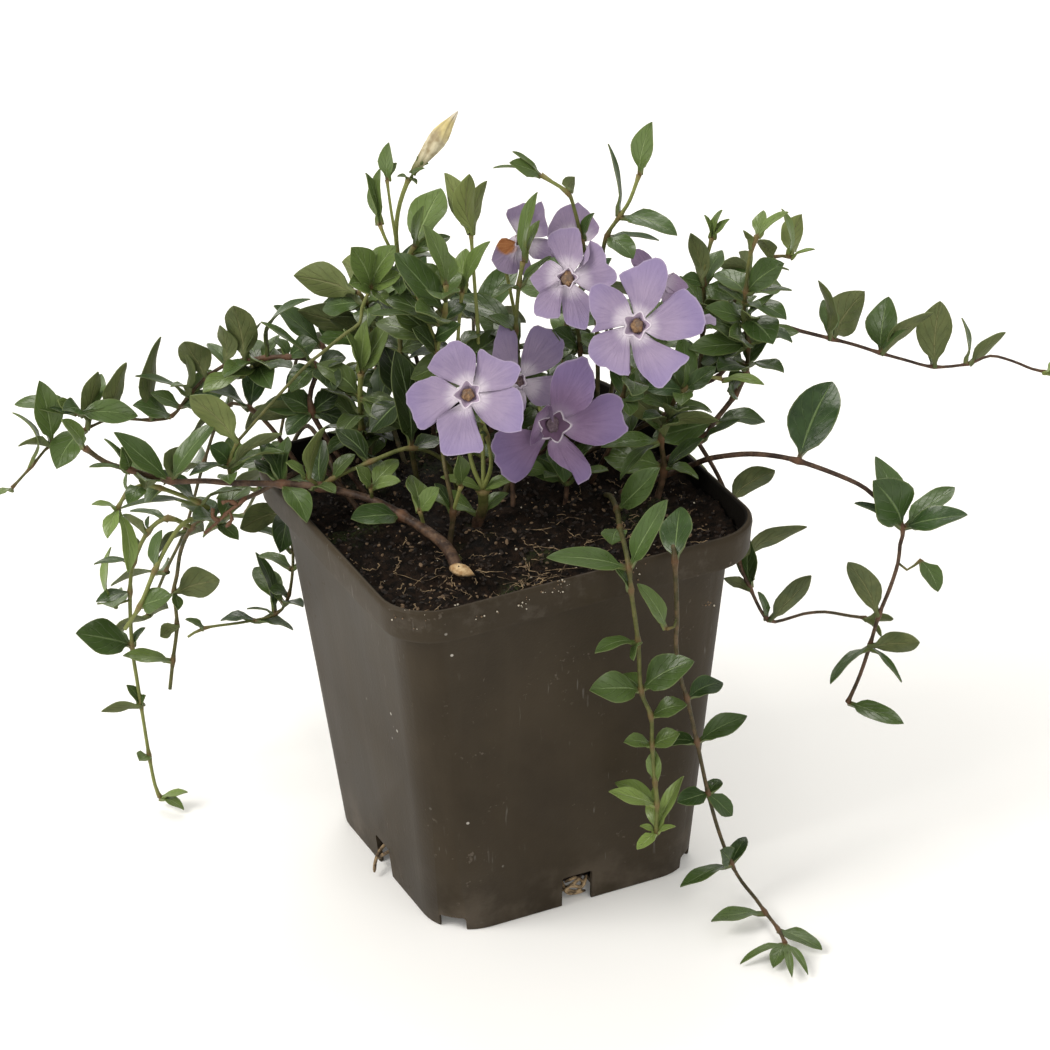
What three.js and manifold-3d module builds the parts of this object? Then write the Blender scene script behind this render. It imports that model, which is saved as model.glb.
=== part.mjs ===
// A periwinkle in a square nursery pot: lavender blooms on arching and trailing leafy runners.
// Millimetres, +Z up. The origin is the middle of the pot's base, and -Y is the pot's front face.
import * as THREE from 'three';
import Module from 'manifold-3d';

const wasm = await Module();
wasm.setup();

// Pot: a thin-walled tapered square with round corners and a stepped rim band
const RIM_HALF = 45;
const WALL_HALF_TOP = 41.7;
const BASE_HALF = 33.2;
const POT_HEIGHT = 92.2;
const RIM_CORNER = 12.2;
const BASE_CORNER = 11.8;
const BAND_HEIGHT = 8.6;
const WALL = 1.1;
const FLOOR_UNDER = 3.8;
const FLOOR_TOP = 5;
const CORNER_STEPS = 3;
const DRAIN_WIDTH = 7.6;
const DRAIN_HEIGHT = 8;
const NOTCH_WIDTH = 6.5;
const NOTCH_HEIGHT = 3.4;
const FOOT_RADIUS = 8;

// Soil and the fit between parts that touch
const SOIL_LEVEL = 86;
const GAP = 0.3;
const ROOT_DEPTH = 5;
const MOUND = 0.7;

// The line of sight along which the plant is described: degrees, millimetres and picture points
const SIGHT_AZIMUTH = -24.35;
const SIGHT_ELEVATION = 28.66;
const SIGHT_ROLL = -2.05;
const SIGHT_DISTANCE = 1063;
const SIGHT_SCALE = 4621;
const SIGHT_SHIFT_RIGHT = 4.65;
const SIGHT_SHIFT_UP = 28.75;
const SIGHT_HEIGHT = 50;
const PICTURE_MIDDLE_X = 528.5;
const PICTURE_MIDDLE_Y = 525.1;

// Foliage
const STEM_SIDES = 3;
const COURSE_STEP = 26;
const BLADE_THICK = 0.9;
const BLADE_FOLD = 0.16;
const BLADE_ARCH = 0.05;
const ROOT_OVERLAP = 0.4;
const LONG_BLADE = 14;
const SMALL_BLADE = 7;
const LYING_TIP = 1.4;

// Blooms
const PETALS = 5;
const PETAL_REACH = 13.6;
const TUBE_LENGTH = 9;
const STALK_NECK = 4;
const PETAL_ROOT = 2.1;
// Left edge outward, left half width, right half width, right edge outward, from the throat out
const PETAL_OUTLINE = [[2.1, 1, 1, 2.1], [9.4, 5.6, 4.5, 8.2], [12, 2.4, 2.9, 13.4]];

const radians = THREE.MathUtils.degToRad;
const vector = (x, y, z) => new THREE.Vector3(x, y, z);

// The direction at an angle from `first` towards `second`, which is square to it
function turned(first, second, angle) {
  return first.clone().multiplyScalar(Math.cos(angle)).addScaledVector(second, Math.sin(angle));
}

// Sight frame: right and up lie in the picture, back points from the plant to the eye
const azimuth = radians(SIGHT_AZIMUTH);
const elevation = radians(SIGHT_ELEVATION);
const BACK = vector(
  Math.sin(azimuth) * Math.cos(elevation),
  -Math.cos(azimuth) * Math.cos(elevation),
  Math.sin(elevation),
);
const LEVEL_RIGHT = vector(Math.cos(azimuth), Math.sin(azimuth), 0);
const LEVEL_UP = new THREE.Vector3().crossVectors(BACK, LEVEL_RIGHT);
const ROLL = radians(SIGHT_ROLL);
const RIGHT = turned(LEVEL_RIGHT, LEVEL_UP, ROLL);
const UP = turned(LEVEL_UP, LEVEL_RIGHT, -ROLL);
const TOWARD = vector(Math.sin(azimuth), -Math.cos(azimuth), 0);
const EYE = vector(0, 0, SIGHT_HEIGHT)
  .addScaledVector(RIGHT, SIGHT_SHIFT_RIGHT)
  .addScaledVector(UP, SIGHT_SHIFT_UP)
  .addScaledVector(BACK, SIGHT_DISTANCE);

function sightLine(x, y) {
  return BACK.clone().negate()
    .addScaledVector(RIGHT, (x - PICTURE_MIDDLE_X) / SIGHT_SCALE)
    .addScaledVector(UP, (PICTURE_MIDDLE_Y - y) / SIGHT_SCALE)
    .normalize();
}

// The point seen at picture point x, y that lies `toward` mm in front of the pot's axis
function seen(x, y, toward) {
  const line = sightLine(x, y);
  return EYE.clone().addScaledVector(line, (toward - EYE.dot(TOWARD)) / line.dot(TOWARD));
}

// The point seen at picture point x, y at a given height
function seenAtHeight(x, y, height) {
  const line = sightLine(x, y);
  return EYE.clone().addScaledVector(line, (height - EYE.z) / line.z);
}

// The point seen at x, y that lies `reach` mm from `from`, on the eye's side of it or, where reach is
// negative, on the far side
function seenAtReach(x, y, from, reach) {
  const line = sightLine(x, y);
  const offset = from.clone().sub(EYE);
  const along = offset.dot(line);
  const aside = offset.lengthSq() - along * along;
  const spare = Math.sqrt(Math.max(0, reach * reach - aside));
  const point = EYE.clone().addScaledVector(line, along - Math.sign(reach) * spare);
  return point.z < LYING_TIP ? seenAtHeight(x, y, LYING_TIP) : point;
}

const soil = (x, y) => ({ soil: [x, y] });
const above = (x, y, z) => ({ above: [x, y, z] });
const lying = (x, y, height) => ({ lying: [x, y, height] });
const behindBloom = (name) => ({ bloom: name });

// Blooms: picture point of the throat, mm toward the eye, facing (right, up, toward the eye), turn, reach
const BLOOMS = {
  bloom_front: { at: [467, 393, 16], facing: [-0.12, 0.1, 1], turn: 110, reach: 13.6 },
  bloom_right: { at: [636, 325, 13], facing: [-0.16, 0.1, 1], turn: 80, reach: 14.2 },
  bloom_upper: { at: [567, 278, -1], facing: [0.02, 0.22, 1], turn: 90, reach: 11.8 },
  bloom_lower: { at: [552, 428, 10], facing: [0.22, -0.36, 0.9], turn: 68, reach: 15.2 },
  bloom_inner: { at: [520, 381, -2.5], facing: [0.25, 0.02, 1], turn: 55, reach: 13 },
  bloom_side: { at: [519, 240, -14], facing: [0.3, 0.1, 0.94], turn: 60, reach: 10.5 },
  bloom_top: { at: [576, 243, -21], facing: [0.12, 0.1, 0.98], turn: 118, reach: 10.8 },
  bloom_hidden: { at: [657, 280, -12.5], facing: [0.1, 0.2, 0.95], turn: 30, reach: 11 },
};

// Leafy stems. Each holds strands: radii at both ends, a course of [picture x, picture y, mm toward
// the eye], and leaves of [course point, picture x and y of the tip, length (minus: tip leans away),
// width, facing (1 shows the upper side, -1 the underside, 0 the edge), extra arch].
const SPRAYS = {
  left_high_runner: [
    {
      radii: [1.05, 0.5],
      course: [soil(-24, 22), [312, 412, -14], [317, 366, -16], [288, 357, -18], [266, 358, -20],
        [246, 360, -21], [228, 364, -22], [208, 376, -22], [190, 394, -22], [172, 416, -22],
        [150, 420, -21], [112, 419, -19], [86, 429, -17], [52, 444, -14], [32, 466, -12], [12, 488, -10]],
      leaves: [
        [1, 266, 405, -13, 7, 0.8], [1, 253, 416, -15, 6.5, -0.7], [1, 347, 414, -9, 5, 0.6],
        [2, 334, 390, 9, 7, 0.8], [2, 292, 394, 9.5, 6, 0.7], [2, 260, 323, 18, 4.5, 0.25],
        [3, 318, 344, 8, 6, 0.8], [3, 275, 338, -6, 4, 0.6],
        [4, 314, 302, 20, 4.5, 0.15, 0.16],
        [5, 234, 305, 15, 8, -0.9], [5, 260, 323, 9.5, 3, 0.15],
        [6, 219, 326, 10, 6, -0.6], [6, 207, 345, -8, 5, 0.6],
        [7, 184, 343, 12, 7.5, -0.85],
        [8, 181, 346, 12.5, 4, -0.5], [8, 135, 377, 14.5, 3.5, 0.3],
        [9, 134, 404, 10, 6, 0.7], [10, 158, 336, 20.5, 6.5, -0.5],
        [11, 127, 363, 14.5, 6.5, -0.6], [11, 99, 408, 4, 2, 0.6],
        [12, 97, 371, 14.5, 5.5, -0.7], [12, 56, 467, 12.5, 8, 0.85],
        [13, 40, 381, 15.5, 7, 0.9], [13, 18, 445, 9, 3.5, -0.5],
        [14, 9, 414, 14, 3.5, 0.15, 0.2], [15, -4, 497, 5, 3, 0.5],
      ],
    },
    {
      radii: [0.55, 0.5],
      course: [[266, 358, -20], [244, 374, -19]],
      leaves: [[1, 203, 395, 12, 5.5, 0.7]],
    },
    {
      radii: [0.5, 0.45],
      course: [[112, 419, -19], [80, 414, -17], [68, 409, -16]],
      leaves: [[2, 58, 400, 4.5, 3, 0.8]],
    },
  ],
  left_middle_runner: [
    {
      radii: [2.4, 0.9],
      course: [[459, 572, 33], [447, 548, 25], [425, 530, 18], [402, 516, 13], [372, 500, 9],
        [320, 487, 5], [282, 484, 3], [232, 483, 3], [205, 481, 3], [170, 481, 4],
        [130, 470, 6], [105, 462, 6], [85, 448, 6]],
      leaves: [
        [3, 350, 521, 13.5, 7, 0.75], [5, 322, 440, -13, 7, 0.7],
        [6, 307, 521, 14, 6, 0.85], [6, 255, 460, -9.5, 7, 0.6], [6, 262, 438, -13, 7, 0.6],
        [6, 290, 438, -12.5, 6, 0.6],
        [9, 113, 433, 18, 6.5, 0.75], [9, 213, 422, 17, 6, 0.7], [9, 178, 447, -9, 6, -0.7],
        [9, 193, 450, -9.5, 3, 0.3],
        [10, 120, 447, 7, 5.5, 0.8], [10, 106, 438, 9.5, 2.2, 0.5], [10, 89, 469, 9.8, 2.5, 0.4],
        [12, 60, 420, 10, 4.5, 0.7],
      ],
    },
    { radii: [1.45, 1.3], course: [soil(-18, -15), [449, 551, 25.5]], leaves: [] },
    {
      radii: [0.8, 0.65],
      course: [[232, 483, 3], [229, 463, 3], [238, 441, 3]],
      leaves: [[1, 209, 446, 7, 5.5, 0.9], [1, 283, 437, 14.5, 5, -0.5], [2, 190, 397, 16, 8, -0.85]],
    },
    {
      radii: [0.55, 0.65],
      course: [[238, 441, 3], [300, 372, 0], [322, 353, -2], [345, 334, -4], [360, 323, -5],
        [362, 308, -6], [371, 288, -6]],
      leaves: [[6, 350, 283, 8, 6, 0.8], [6, 349, 247, 12, 7.5, 0.85], [6, 398, 246, 12, 7, 0.8],
        [6, 402, 275, 8.5, 5, 0.8], [6, 342, 262, -15, 10, -0.7], [6, 390, 307, 6.5, 4, 0.7]],
    },
    {
      radii: [0.7, 0.65],
      course: [[372, 500, 9], [371, 487, 10]],
      leaves: [[1, 357, 467, 7, 4, 0.7], [1, 398, 460, -10, 5, 0.8], [1, 401, 482, 8, 4, 0.7]],
    },
    {
      radii: [0.7, 0.65],
      course: [[425, 530, 16], [420, 511, 17]],
      leaves: [[1, 440, 488, 8, 5, 0.8], [1, 412, 475, -10, 6, 0.7]],
    },
    {
      radii: [0.7, 0.65],
      course: [[320, 487, 5], [307, 477, 6]],
      leaves: [[1, 325, 427, 13, 4.5, -0.6], [1, 285, 463, 7, 3.5, 0.6]],
    },
    {
      radii: [0.9, 0.7],
      course: [soil(-6, 10), [446, 463, 0], [412, 448, 3], [370, 462, 5], [332, 479, 5], [320, 487, 5]],
      leaves: [[2, 396, 351, 23.5, 9, 0.8], [2, 440, 440, -8, 5, 0.7], [3, 335, 430, -11, 6, 0.7],
        [4, 356, 455, 8, 4, 0.8]],
    },
  ],
  left_low_sprays: [
    {
      radii: [1.1, 0.7],
      course: [soil(-29, 9), [322, 468, -4], [287, 477, -2.5], [262, 491, -3.5], [240, 501, -7],
        [215, 513, -10], [192, 528, -13], [181, 550, -16], [177, 575, -18], [174, 592, -19],
        [177, 625, -20], [173, 660, -20], [170, 689, -20]],
      leaves: [
        [6, 209, 512, 6, 3, 0.7], [9, 220, 579, 11.5, 8, -0.9], [9, 177, 611, 5, 3, 0.8],
        [10, 161, 637, 5, 4, -0.8], [11, 123, 656, 12.5, 4.5, 0.7],
      ],
    },
    {
      radii: [1.05, 0.65],
      course: [[215, 513, -10], [198, 502, -6], [180, 495, -2], [160, 488, 1], [142, 485, 3],
        [127, 493, 5], [118, 508, 6]],
      leaves: [[6, 129, 572, 15.5, 4.5, 0.75], [6, 108, 539, 8, 4, 0.8], [6, 92, 504, 6.5, 2.2, 0.5],
        [1, 120, 508, 19, 3.5, 0.3], [3, 145, 500, -6, 5, 0.7], [5, 128, 472, -5, 1.4, 0.4]],
    },
    {
      radii: [0.95, 0.65],
      course: [[192, 528, -13], [168, 518, -13], [148, 532, -15], [134, 562, -17], [130, 592, -19],
        [132, 645, -20], [137, 680, -20], [141, 705, -20], [149, 755, -19], [155, 785, -18],
        [160, 797, -17.5]],
      leaves: [[1, 130, 512, -9.5, 3, 0.4], [2, 122, 516, 7, 3.5, -0.6], [2, 150, 516, 4, 1.6, 0.5],
        [3, 128, 531, 8, 4, -0.8], [3, 94, 563, 9.5, 2.4, 0.5], [4, 96, 601, 8.5, 4, 0.7],
        [5, 75, 634, 15, 9, 0.9], [5, 146, 628, 5.5, 2.5, 0.6], [5, 103, 627, -8.5, 2.5, 0.5],
        [7, 127, 685, 6, 3, 0.8], [7, 102, 713, 9.5, 2.8, -0.8], [7, 146, 695, 3.5, 2.5, 0.6],
        [8, 139, 761, 4, 4.2, 0.8], [10, 188, 793, 7.5, 2.6, 0.6], [10, 184, 809, 7, 3, 0.7]],
    },
    {
      radii: [0.45, 0.45],
      course: [[130, 600, -19], [111, 606, -17]],
      leaves: [[1, 114, 547, 14, 3.5, 0.4, 0.06]],
    },
    {
      radii: [0.95, 0.8],
      course: [[215, 513, -10], [186, 522, -7], [170, 541, -7], [155, 570, -7], [140, 606, -8],
        [125, 629, -9]],
      leaves: [[3, 161, 530, 9.5, 4, 0.7], [4, 172, 596, 10, 6.5, 0.85]],
    },
    { radii: [0.7, 0.5], course: [[240, 501, -7], [222, 520, -4], [204, 534, -3]], leaves: [] },
  ],
  left_back_runner: [
    {
      radii: [0.95, 0.5],
      course: [soil(-27, 30), [308, 426, -30], [284, 470, -35], [286, 510, -36], [293, 553, -35],
        [289, 595, -33], [276, 614, -32], [245, 622, -32], [205, 628, -32], [188, 637, -32]],
      leaves: [[3, 241, 529, 12.5, 7, -0.9], [5, 269, 590, 5, 4, 0.7], [6, 257, 552, 14.5, 4, 0.7],
        [6, 247, 608, 7, 1.2, 0.3], [8, 185, 620, 5.2, 2.5, 0.6]],
    },
  ],
  crown_left_short: [
    {
      radii: [1.3, 0.95],
      course: [soil(-20, 27), [368, 456, -15], [362, 430, -13], [360, 396, -11], [361, 373, -10]],
      leaves: [[4, 345, 329, 12.5, 3.2, 0.5], [4, 365, 321, 13, 5, 0.8], [4, 390, 323, 14, 6.5, 0.8],
        [2, 346, 441, 6, 5, 0.6], [2, 385, 440, -8, 6, 0.6], [1, 398, 352, -26, 10, 0.6]],
    },
  ],
  crown_left_back: [
    {
      radii: [0.95, 0.65],
      course: [soil(-10, 32), [385, 400, -37], [373, 340, -32], [366, 303, -27], [357, 292, -26]],
      leaves: [[4, 292, 277, -16.5, 8.5, -0.9], [3, 314, 288, -13.5, 6, -0.8], [3, 322, 308, -12, 7, 0.8],
        [2, 297, 313, -17.8, 8, -0.8], [2, 329, 320, 12, 5, -0.7], [2, 319, 340, -12.6, 8, 0.6]],
    },
  ],
  crown_left_tall: [
    {
      radii: [1.05, 0.8],
      course: [soil(-14, 14), [403, 400, -6], [400, 330, -8], [399, 270, -10], [396, 232, -11],
        [400, 203, -12], [409, 178, -13]],
      leaves: [[2, 378, 300, -9, 4, 0.6], [2, 412, 284, 11, 4, 0.7], [6, 397, 177, 3.5, 1.2, 0.5],
        [6, 424, 168, 5.8, 1.4, 0.5], [6, 417, 184, 3, 1.3, 0.5]],
    },
    {
      radii: [0.65, 0.5],
      course: [[397, 246, -10.7], [391, 210, -9], [387, 180, -9]],
      leaves: [[2, 388, 143, 9, 4, 0.8], [2, 397, 163, 4.5, 2.5, 0.7]],
    },
    {
      radii: [0.65, 0.55],
      course: [[399, 266, -10], [385, 238, -8], [380, 225, -8]],
      leaves: [[2, 367, 173, 12.5, 3.5, 0.6], [2, 379, 169, 13, 4, 0.7]],
    },
    {
      radii: [0.7, 0.65],
      course: [[399, 270, -10], [414, 247, -12]],
      leaves: [[1, 442, 191, -16, 9, 0.85], [1, 423, 206, 10, 3, 0.7]],
    },
  ],
  crown_middle_left: [
    {
      radii: [1.05, 0.65],
      course: [soil(-17, -8), [453, 512, 13], [447, 478, 11], [443, 455, 8], [438, 400, 2],
        [437, 352, 1], [426, 316, 0], [418, 296, -1]],
      leaves: [[1, 434, 484, -7, 4, 0.6], [6, 371, 317, 13.5, 4, 0.4], [5, 413, 328, 9, 5.5, 0.7],
        [7, 402, 277, 6, 4, 0.7], [4, 414, 378, 8, 5, 0.8]],
    },
    { radii: [0.7, 0.65], course: [[453, 512, 13], [461, 486, 14]], leaves: [[1, 457, 455, 7.5, 5, 0.7]] },
    {
      radii: [0.8, 0.7],
      course: [[437, 352, 1], [445, 312, 1], [446, 285, 1]],
      leaves: [[2, 424, 225, 15, 5, 0.75], [1, 393, 254, 17.5, 8.5, 0.8], [2, 443, 249, -9, 5, 0.7]],
    },
  ],
  crown_fork: [
    {
      radii: [2.1, 1.8],
      course: [soil(-6.5, -0.5), [483, 508, 5], [483, 489, 6]],
      leaves: [[2, 441, 477, 10.5, 3.2, 0.7], [2, 518, 477, 9, 3.6, 0.7]],
    },
    {
      radii: [0.9, 0.65],
      course: [[483, 489, 6], [471, 460, 4], [463, 400, -3], [458, 345, -5], [462, 292, -5]],
      leaves: [[4, 493, 242, 16, 4.5, 0.6], [4, 467, 249, -10, 6, 0.7], [4, 430, 246, -13, 6, 0.7],
        [3, 485, 334, -8, 4, 0.5]],
    },
    {
      radii: [0.9, 0.65],
      course: [[483, 489, 6], [483, 455, 3], [479, 400, -5], [478, 335, -9], [475, 290, -11],
        [471, 234, -12]],
      leaves: [[5, 442, 173, -16, 6.5, -0.8], [5, 469, 174, 14.5, 6.5, -0.8],
        [5, 486, 181, -13.5, 5, -0.7]],
    },
    {
      radii: [0.8, 0.7],
      course: [[483, 489, 6], [491, 466, 8], [487, 436, 7], behindBloom('bloom_front')],
      leaves: [[2, 480, 433, 3, 1.2, 0.5]],
    },
  ],
  crown_middle_right: [
    {
      radii: [0.95, 0.7],
      course: [soil(4, 8), [525, 440, -13], [519, 380, -13], [516, 330, -7], [519, 285, -6],
        [523, 262, -6.6]],
      leaves: [[5, 534, 193, 17.5, 4.5, 0.6], [5, 541, 221, 10, 3.5, 0.6], [4, 552, 258, -9.5, 3.5, 0.4],
        [4, 493, 297, 8, 3.2, 0.5], [3, 453, 300, -19.5, 6.5, 0.8], [3, 489, 316, 8, 3.5, 0.6]],
    },
    {
      radii: [0.65, 0.65],
      course: [[519, 380, -13], [517, 330, -19], [510, 290, -22], behindBloom('bloom_side')],
      leaves: [],
    },
  ],
  crown_top_bud: [
    {
      radii: [0.95, 0.65],
      course: [soil(16, 12), [592, 420, -12], [597, 340, -11], [592, 285, -10], [582, 240, -10],
        [574, 208, -10], [568, 193, -7], [552, 182, -8], [541, 175, -9]],
      leaves: [[6, 574, 177, -5.5, 4, -0.8], [4, 594, 213, 8, 3, 0.6], [8, 494, 166, 11.5, 1.5, 0.3],
        [8, 509, 163, 8.5, 4.5, 0.8], [8, 511, 153, 9, 2, 0.5]],
    },
  ],
  crown_top_leaves: [
    {
      radii: [0.95, 0.65],
      course: [soil(19, 9), [609, 400, -14], [611, 330, -12], [603, 262, -9], [607, 236, -9],
        [620, 216, -8], [630, 200, -6], [639, 175, -7]],
      leaves: [[7, 652, 122, 13.5, 5.5, 0.85], [5, 609, 144, 17.5, 2.2, 0.4], [5, 677, 234, 15, 6, 0.7],
        [4, 633, 260, 9.5, 6, 0.8], [4, 659, 240, -13, 3, 0.4]],
    },
  ],
  crown_right_tall: [
    {
      radii: [1.2, 0.65],
      course: [soil(34, 1), [700, 440, -10], [714, 422, -11], [735, 395, -13], [746, 372, -15],
        [748, 345, -15], [744, 318, -15], [746, 292, -15], [748, 268, -16], [752, 247, -17],
        [757, 236, -17]],
      leaves: [[1, 741, 421, 12, 3, 0.5], [3, 727, 391, 5, 4, 0.7], [4, 729, 393, -8, 6, 0.6],
        [5, 689, 349, 14.5, 6, 0.85], [5, 702, 364, -12.5, 7.5, 0.6],
        [6, 775, 296, 10, 2.6, 0.6], [6, 773, 344, 12, 8.5, 0.85], [6, 705, 308, 10.5, 5, 0.8],
        [7, 786, 264, 12.5, 7.5, 0.85], [7, 716, 272, -10.5, 7, 0.7], [7, 792, 292, 11, 3, 0.4],
        [9, 743, 231, 5, 2.2, -0.6], [10, 764, 211, -7, 3.5, 0.8], [10, 788, 212, 9.5, 3, 0.6]],
    },
  ],
  crown_right_clump: [
    {
      radii: [0.95, 0.65],
      course: [soil(26, 16), [684, 400, -20], [703, 330, -23], [704, 285, -24], [706, 262, -25],
        [712, 238, -26]],
      leaves: [[3, 692, 232, 13, 5, -0.85], [3, 722, 250, -9.5, 6.5, 0.7], [3, 682, 278, 6, 4, 0.7],
        [3, 735, 299, 8, 6, 0.8], [2, 682, 300, 9, 5, 0.7], [5, 723, 210, 7.5, 2.4, 0.6],
        [5, 729, 219, 6.5, 2.4, 0.6], [5, 705, 215, 5.8, 1.7, 0.6]],
    },
  ],
  crown_right_front: [
    {
      radii: [1.3, 0.55],
      course: [soil(33.5, -11), [664, 470, -4], [661, 440, -3], [664, 424, -3], [675, 400, -3],
        [686, 388, -3], [700, 377, -4], [722, 379, -4]],
      leaves: [[1, 703, 438, 12, 5, 0.6], [2, 601, 446, 14.5, 5.5, 0.6], [2, 619, 478, 13, 4, 0.6],
        [3, 718, 422, 13, 3.8, -0.8], [3, 616, 381, -15.5, 8, -0.85], [4, 697, 387, -8, 5, -0.7],
        [5, 684, 362, 6.5, 2.5, 0.6], [7, 764, 384, 10.5, 2.8, 0.7]],
    },
  ],
  crown_right_back: [
    {
      radii: [0.95, 0.55],
      course: [soil(26, 26), [700, 360, -42], [735, 300, -46], [752, 272, -47], [772, 257, -47],
        [790, 257, -48]],
      leaves: [[5, 800, 215, -12, 6.5, -0.8], [5, 815, 250, 6.5, 1.6, 0.4], [5, 784, 209, 12, 3, 0.5],
        [3, 719, 265, 9.5, 4.5, -0.7], [3, 738, 252, -7, 5, -0.7], [4, 760, 241, 8, 5, -0.7],
        [4, 774, 276, 5, 4, -0.7]],
    },
  ],
  right_high_runner: [
    {
      radii: [1.05, 0.5],
      course: [soil(31, 20), above(35, 20.5, 95), [712, 380, -31], [742, 335, -29], [778, 326, -29],
        [800, 331, -29],
        [832, 339, -30], [855, 345, -31], [880, 353, -32], [905, 360, -33], [934, 367, -34],
        [968, 364, -35], [990, 356, -35], [1012, 361, -35], [1032, 369, -35], [1046, 372, -35]],
      leaves: [[6, 862, 292, -15, 9.5, -0.9], [6, 820, 280, 15, 5, -0.5], [6, 823, 300, -10.5, 5, 0.8],
        [8, 889, 297, -13.5, 8, 0.85], [8, 933, 312, 15.5, 5, -0.6], [8, 906, 330, 8.5, 3, 0.5],
        [10, 940, 301, 16, 8.5, -0.95], [10, 926, 325, -10.5, 4.5, 0.8],
        [11, 963, 318, 11.5, 3, 0.2], [11, 1005, 332, -11.5, 4, -0.7],
        [15, 1056, 366, 4, 2.5, 0.6], [15, 1055, 378, 4, 2.5, -0.6]],
    },
  ],
  right_arching_runner: [
    {
      radii: [1.2, 0.7],
      course: [soil(28, -4), [680, 470, -8], [705, 460, -4], [725, 456, -1], [750, 454, 2],
        [775, 456, 5], [798, 461, 8], [830, 472, 10], [858, 484, 12], [872, 494, 13],
        [888, 510, 14], [903, 527, 15], [900, 545, 16], [898, 563, 16], [890, 588, 16],
        [879, 615, 15], [870, 645, 14], [860, 675, 13], [848, 702, 12]],
      leaves: [[6, 832, 380, -21.5, 11.5, 0.95], [11, 874, 481, 15, 11, 0.9],
        [11, 877, 455, -18.5, 6.5, 0.8],
        [11, 854, 504, 13, 4, 0.5], [11, 955, 488, -15.5, 7, 0.7], [11, 969, 517, 16.5, 6.5, 0.75],
        [15, 848, 562, 15, 6.5, -0.9], [16, 831, 685, 14, 3.8, 0.6], [16, 919, 643, 14.5, 5.5, -0.9],
        [16, 901, 683, 12, 2.4, 0.5], [18, 904, 725, 15, 4.8, 0.9]],
    },
    {
      radii: [0.45, 0.45],
      course: [[898, 563, 16], [907, 570, 17], [921, 560, 18]],
      leaves: [[2, 938, 592, 8.5, 5.5, 0.8]],
    },
  ],
  right_back_runner: [
    {
      radii: [1.05, 0.55],
      course: [soil(34, 11), above(40, 9, 94.5), [677, 419, -24], [706, 455, -22], [728, 500, -14],
        [738, 557, -8],
        [750, 588, -8], [768, 620, -9], [790, 618, -12], [803, 614, -14], [825, 612, -16],
        [850, 616, -18], [866, 618, -19]],
      leaves: [[4, 775, 470, 14.5, 6.5, -0.85], [5, 807, 527, 18, 5, -0.7], [6, 750, 537, 13, 6, 0.8],
        [6, 724, 580, 6.5, 3.5, -0.7], [7, 812, 577, 14.5, 5.5, -0.85], [7, 757, 592, 7.5, 3, 0.6],
        [12, 893, 620, 7, 3.5, -0.6], [12, 880, 637, 6, 2.2, -0.6]],
    },
  ],
  front_left_trail: [
    {
      radii: [1.05, 0.7],
      course: [soil(24, -3.5), [611, 497, 1], [617, 510, 8], [620, 528, 21], [625, 547, 36],
        [629, 568, 43], [631, 590, 44], [638, 641, 43], [641, 690, 42], [651, 716, 42],
        [652, 745, 41], [655, 782, 40], [657, 805, 39], [656, 832, 38]],
      leaves: [[2, 660, 468, 16, 7, 0.85], [3, 612, 545, 7, 6, 0.9],
        [5, 548, 556, 19.5, 5.5, 0.85], [5, 669, 500, 19, 6.5, 0.8], [6, 612, 566, 7, 2.6, 0.6],
        [7, 595, 652, 11, 4.5, 0.6], [7, 634, 661, 5, 3, 0.5],
        [8, 693, 661, 14, 8, 0.9], [8, 590, 690, 13, 7.5, 0.9], [8, 622, 675, -6.5, 5, 0.7],
        [9, 688, 706, 9, 5, 0.85], [10, 680, 734, 7, 5, 0.85], [10, 624, 742, 7, 4, 0.8],
        [11, 655, 750, 8, 4.2, 0.85], [12, 608, 793, 12, 4.5, 0.75], [12, 615, 781, -12, 4.5, 0.8],
        [13, 682, 776, 14.5, 4, 0.7], [13, 655, 784, -11.5, 3.8, 0.8], [13, 640, 826, 4, 1.8, 0.7],
        [13, 675, 826, 5, 1.8, 0.7], [13, 637, 850, 6.5, 3.4, 0.85]],
    },
  ],
  front_right_trail: [
    {
      radii: [0.95, 0.65],
      course: [soil(32, -22), [675, 531, 20], [673, 542, 33], [675, 562, 39], [677, 617, 41],
        [676, 645, 41], [681, 680, 40], [687, 698, 39], [697, 742, 38], [708, 793, 36],
        [719, 832, 34], [731, 863, 33], lying(742, 882, 5), lying(755, 898, 3.2), lying(765, 912, 2.6),
        lying(778, 929, 2.4), lying(785, 943, 2.4)],
      leaves: [[3, 681, 508, -14.5, 7.5, 0.9], [7, 723, 682, -11, 5.5, 0.85],
        [8, 747, 717, -13, 5.5, 0.9], [8, 666, 741, -9, 4, 0.8], [9, 677, 803, 8, 5.5, 0.85],
        [9, 720, 781, -5, 4, 0.8], [9, 731, 816, -8, 5, 0.85], [11, 746, 837, -7.5, 4.2, 0.85],
        [11, 720, 850, 6, 5, 0.85], [11, 681, 890, 14, 5, 0.6], [14, 711, 924, 14, 5, 0.6],
        [15, 822, 950, 12, 5, 0.6], [16, 740, 962, 11.5, 2.4, 0.6], [16, 773, 967, 7, 4, 0.6],
        [16, 792, 980, 9.5, 1.8, 0.6], [16, 808, 974, 10, 1.8, 0.6]],
    },
    {
      radii: [0.5, 0.45],
      course: [[677, 617, 41], [674, 627, 42], [667, 629, 43]],
      leaves: [[2, 637, 584, 12.5, 4.8, 0.75]],
    },
  ],
  bloom_right_stem: [
    {
      radii: [0.95, 0.7],
      course: [soil(23, 2.5), [613, 440, -7], [622, 400, -3], [631, 365, 0], behindBloom('bloom_right')],
      leaves: [[2, 645, 400, 9, 5, 0.6]],
    },
  ],
  bloom_upper_stem: [
    {
      radii: [0.95, 0.7],
      course: [soil(12, 18), [575, 420, -16], [580, 350, -12], [573, 312, -9],
        behindBloom('bloom_upper')],
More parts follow.
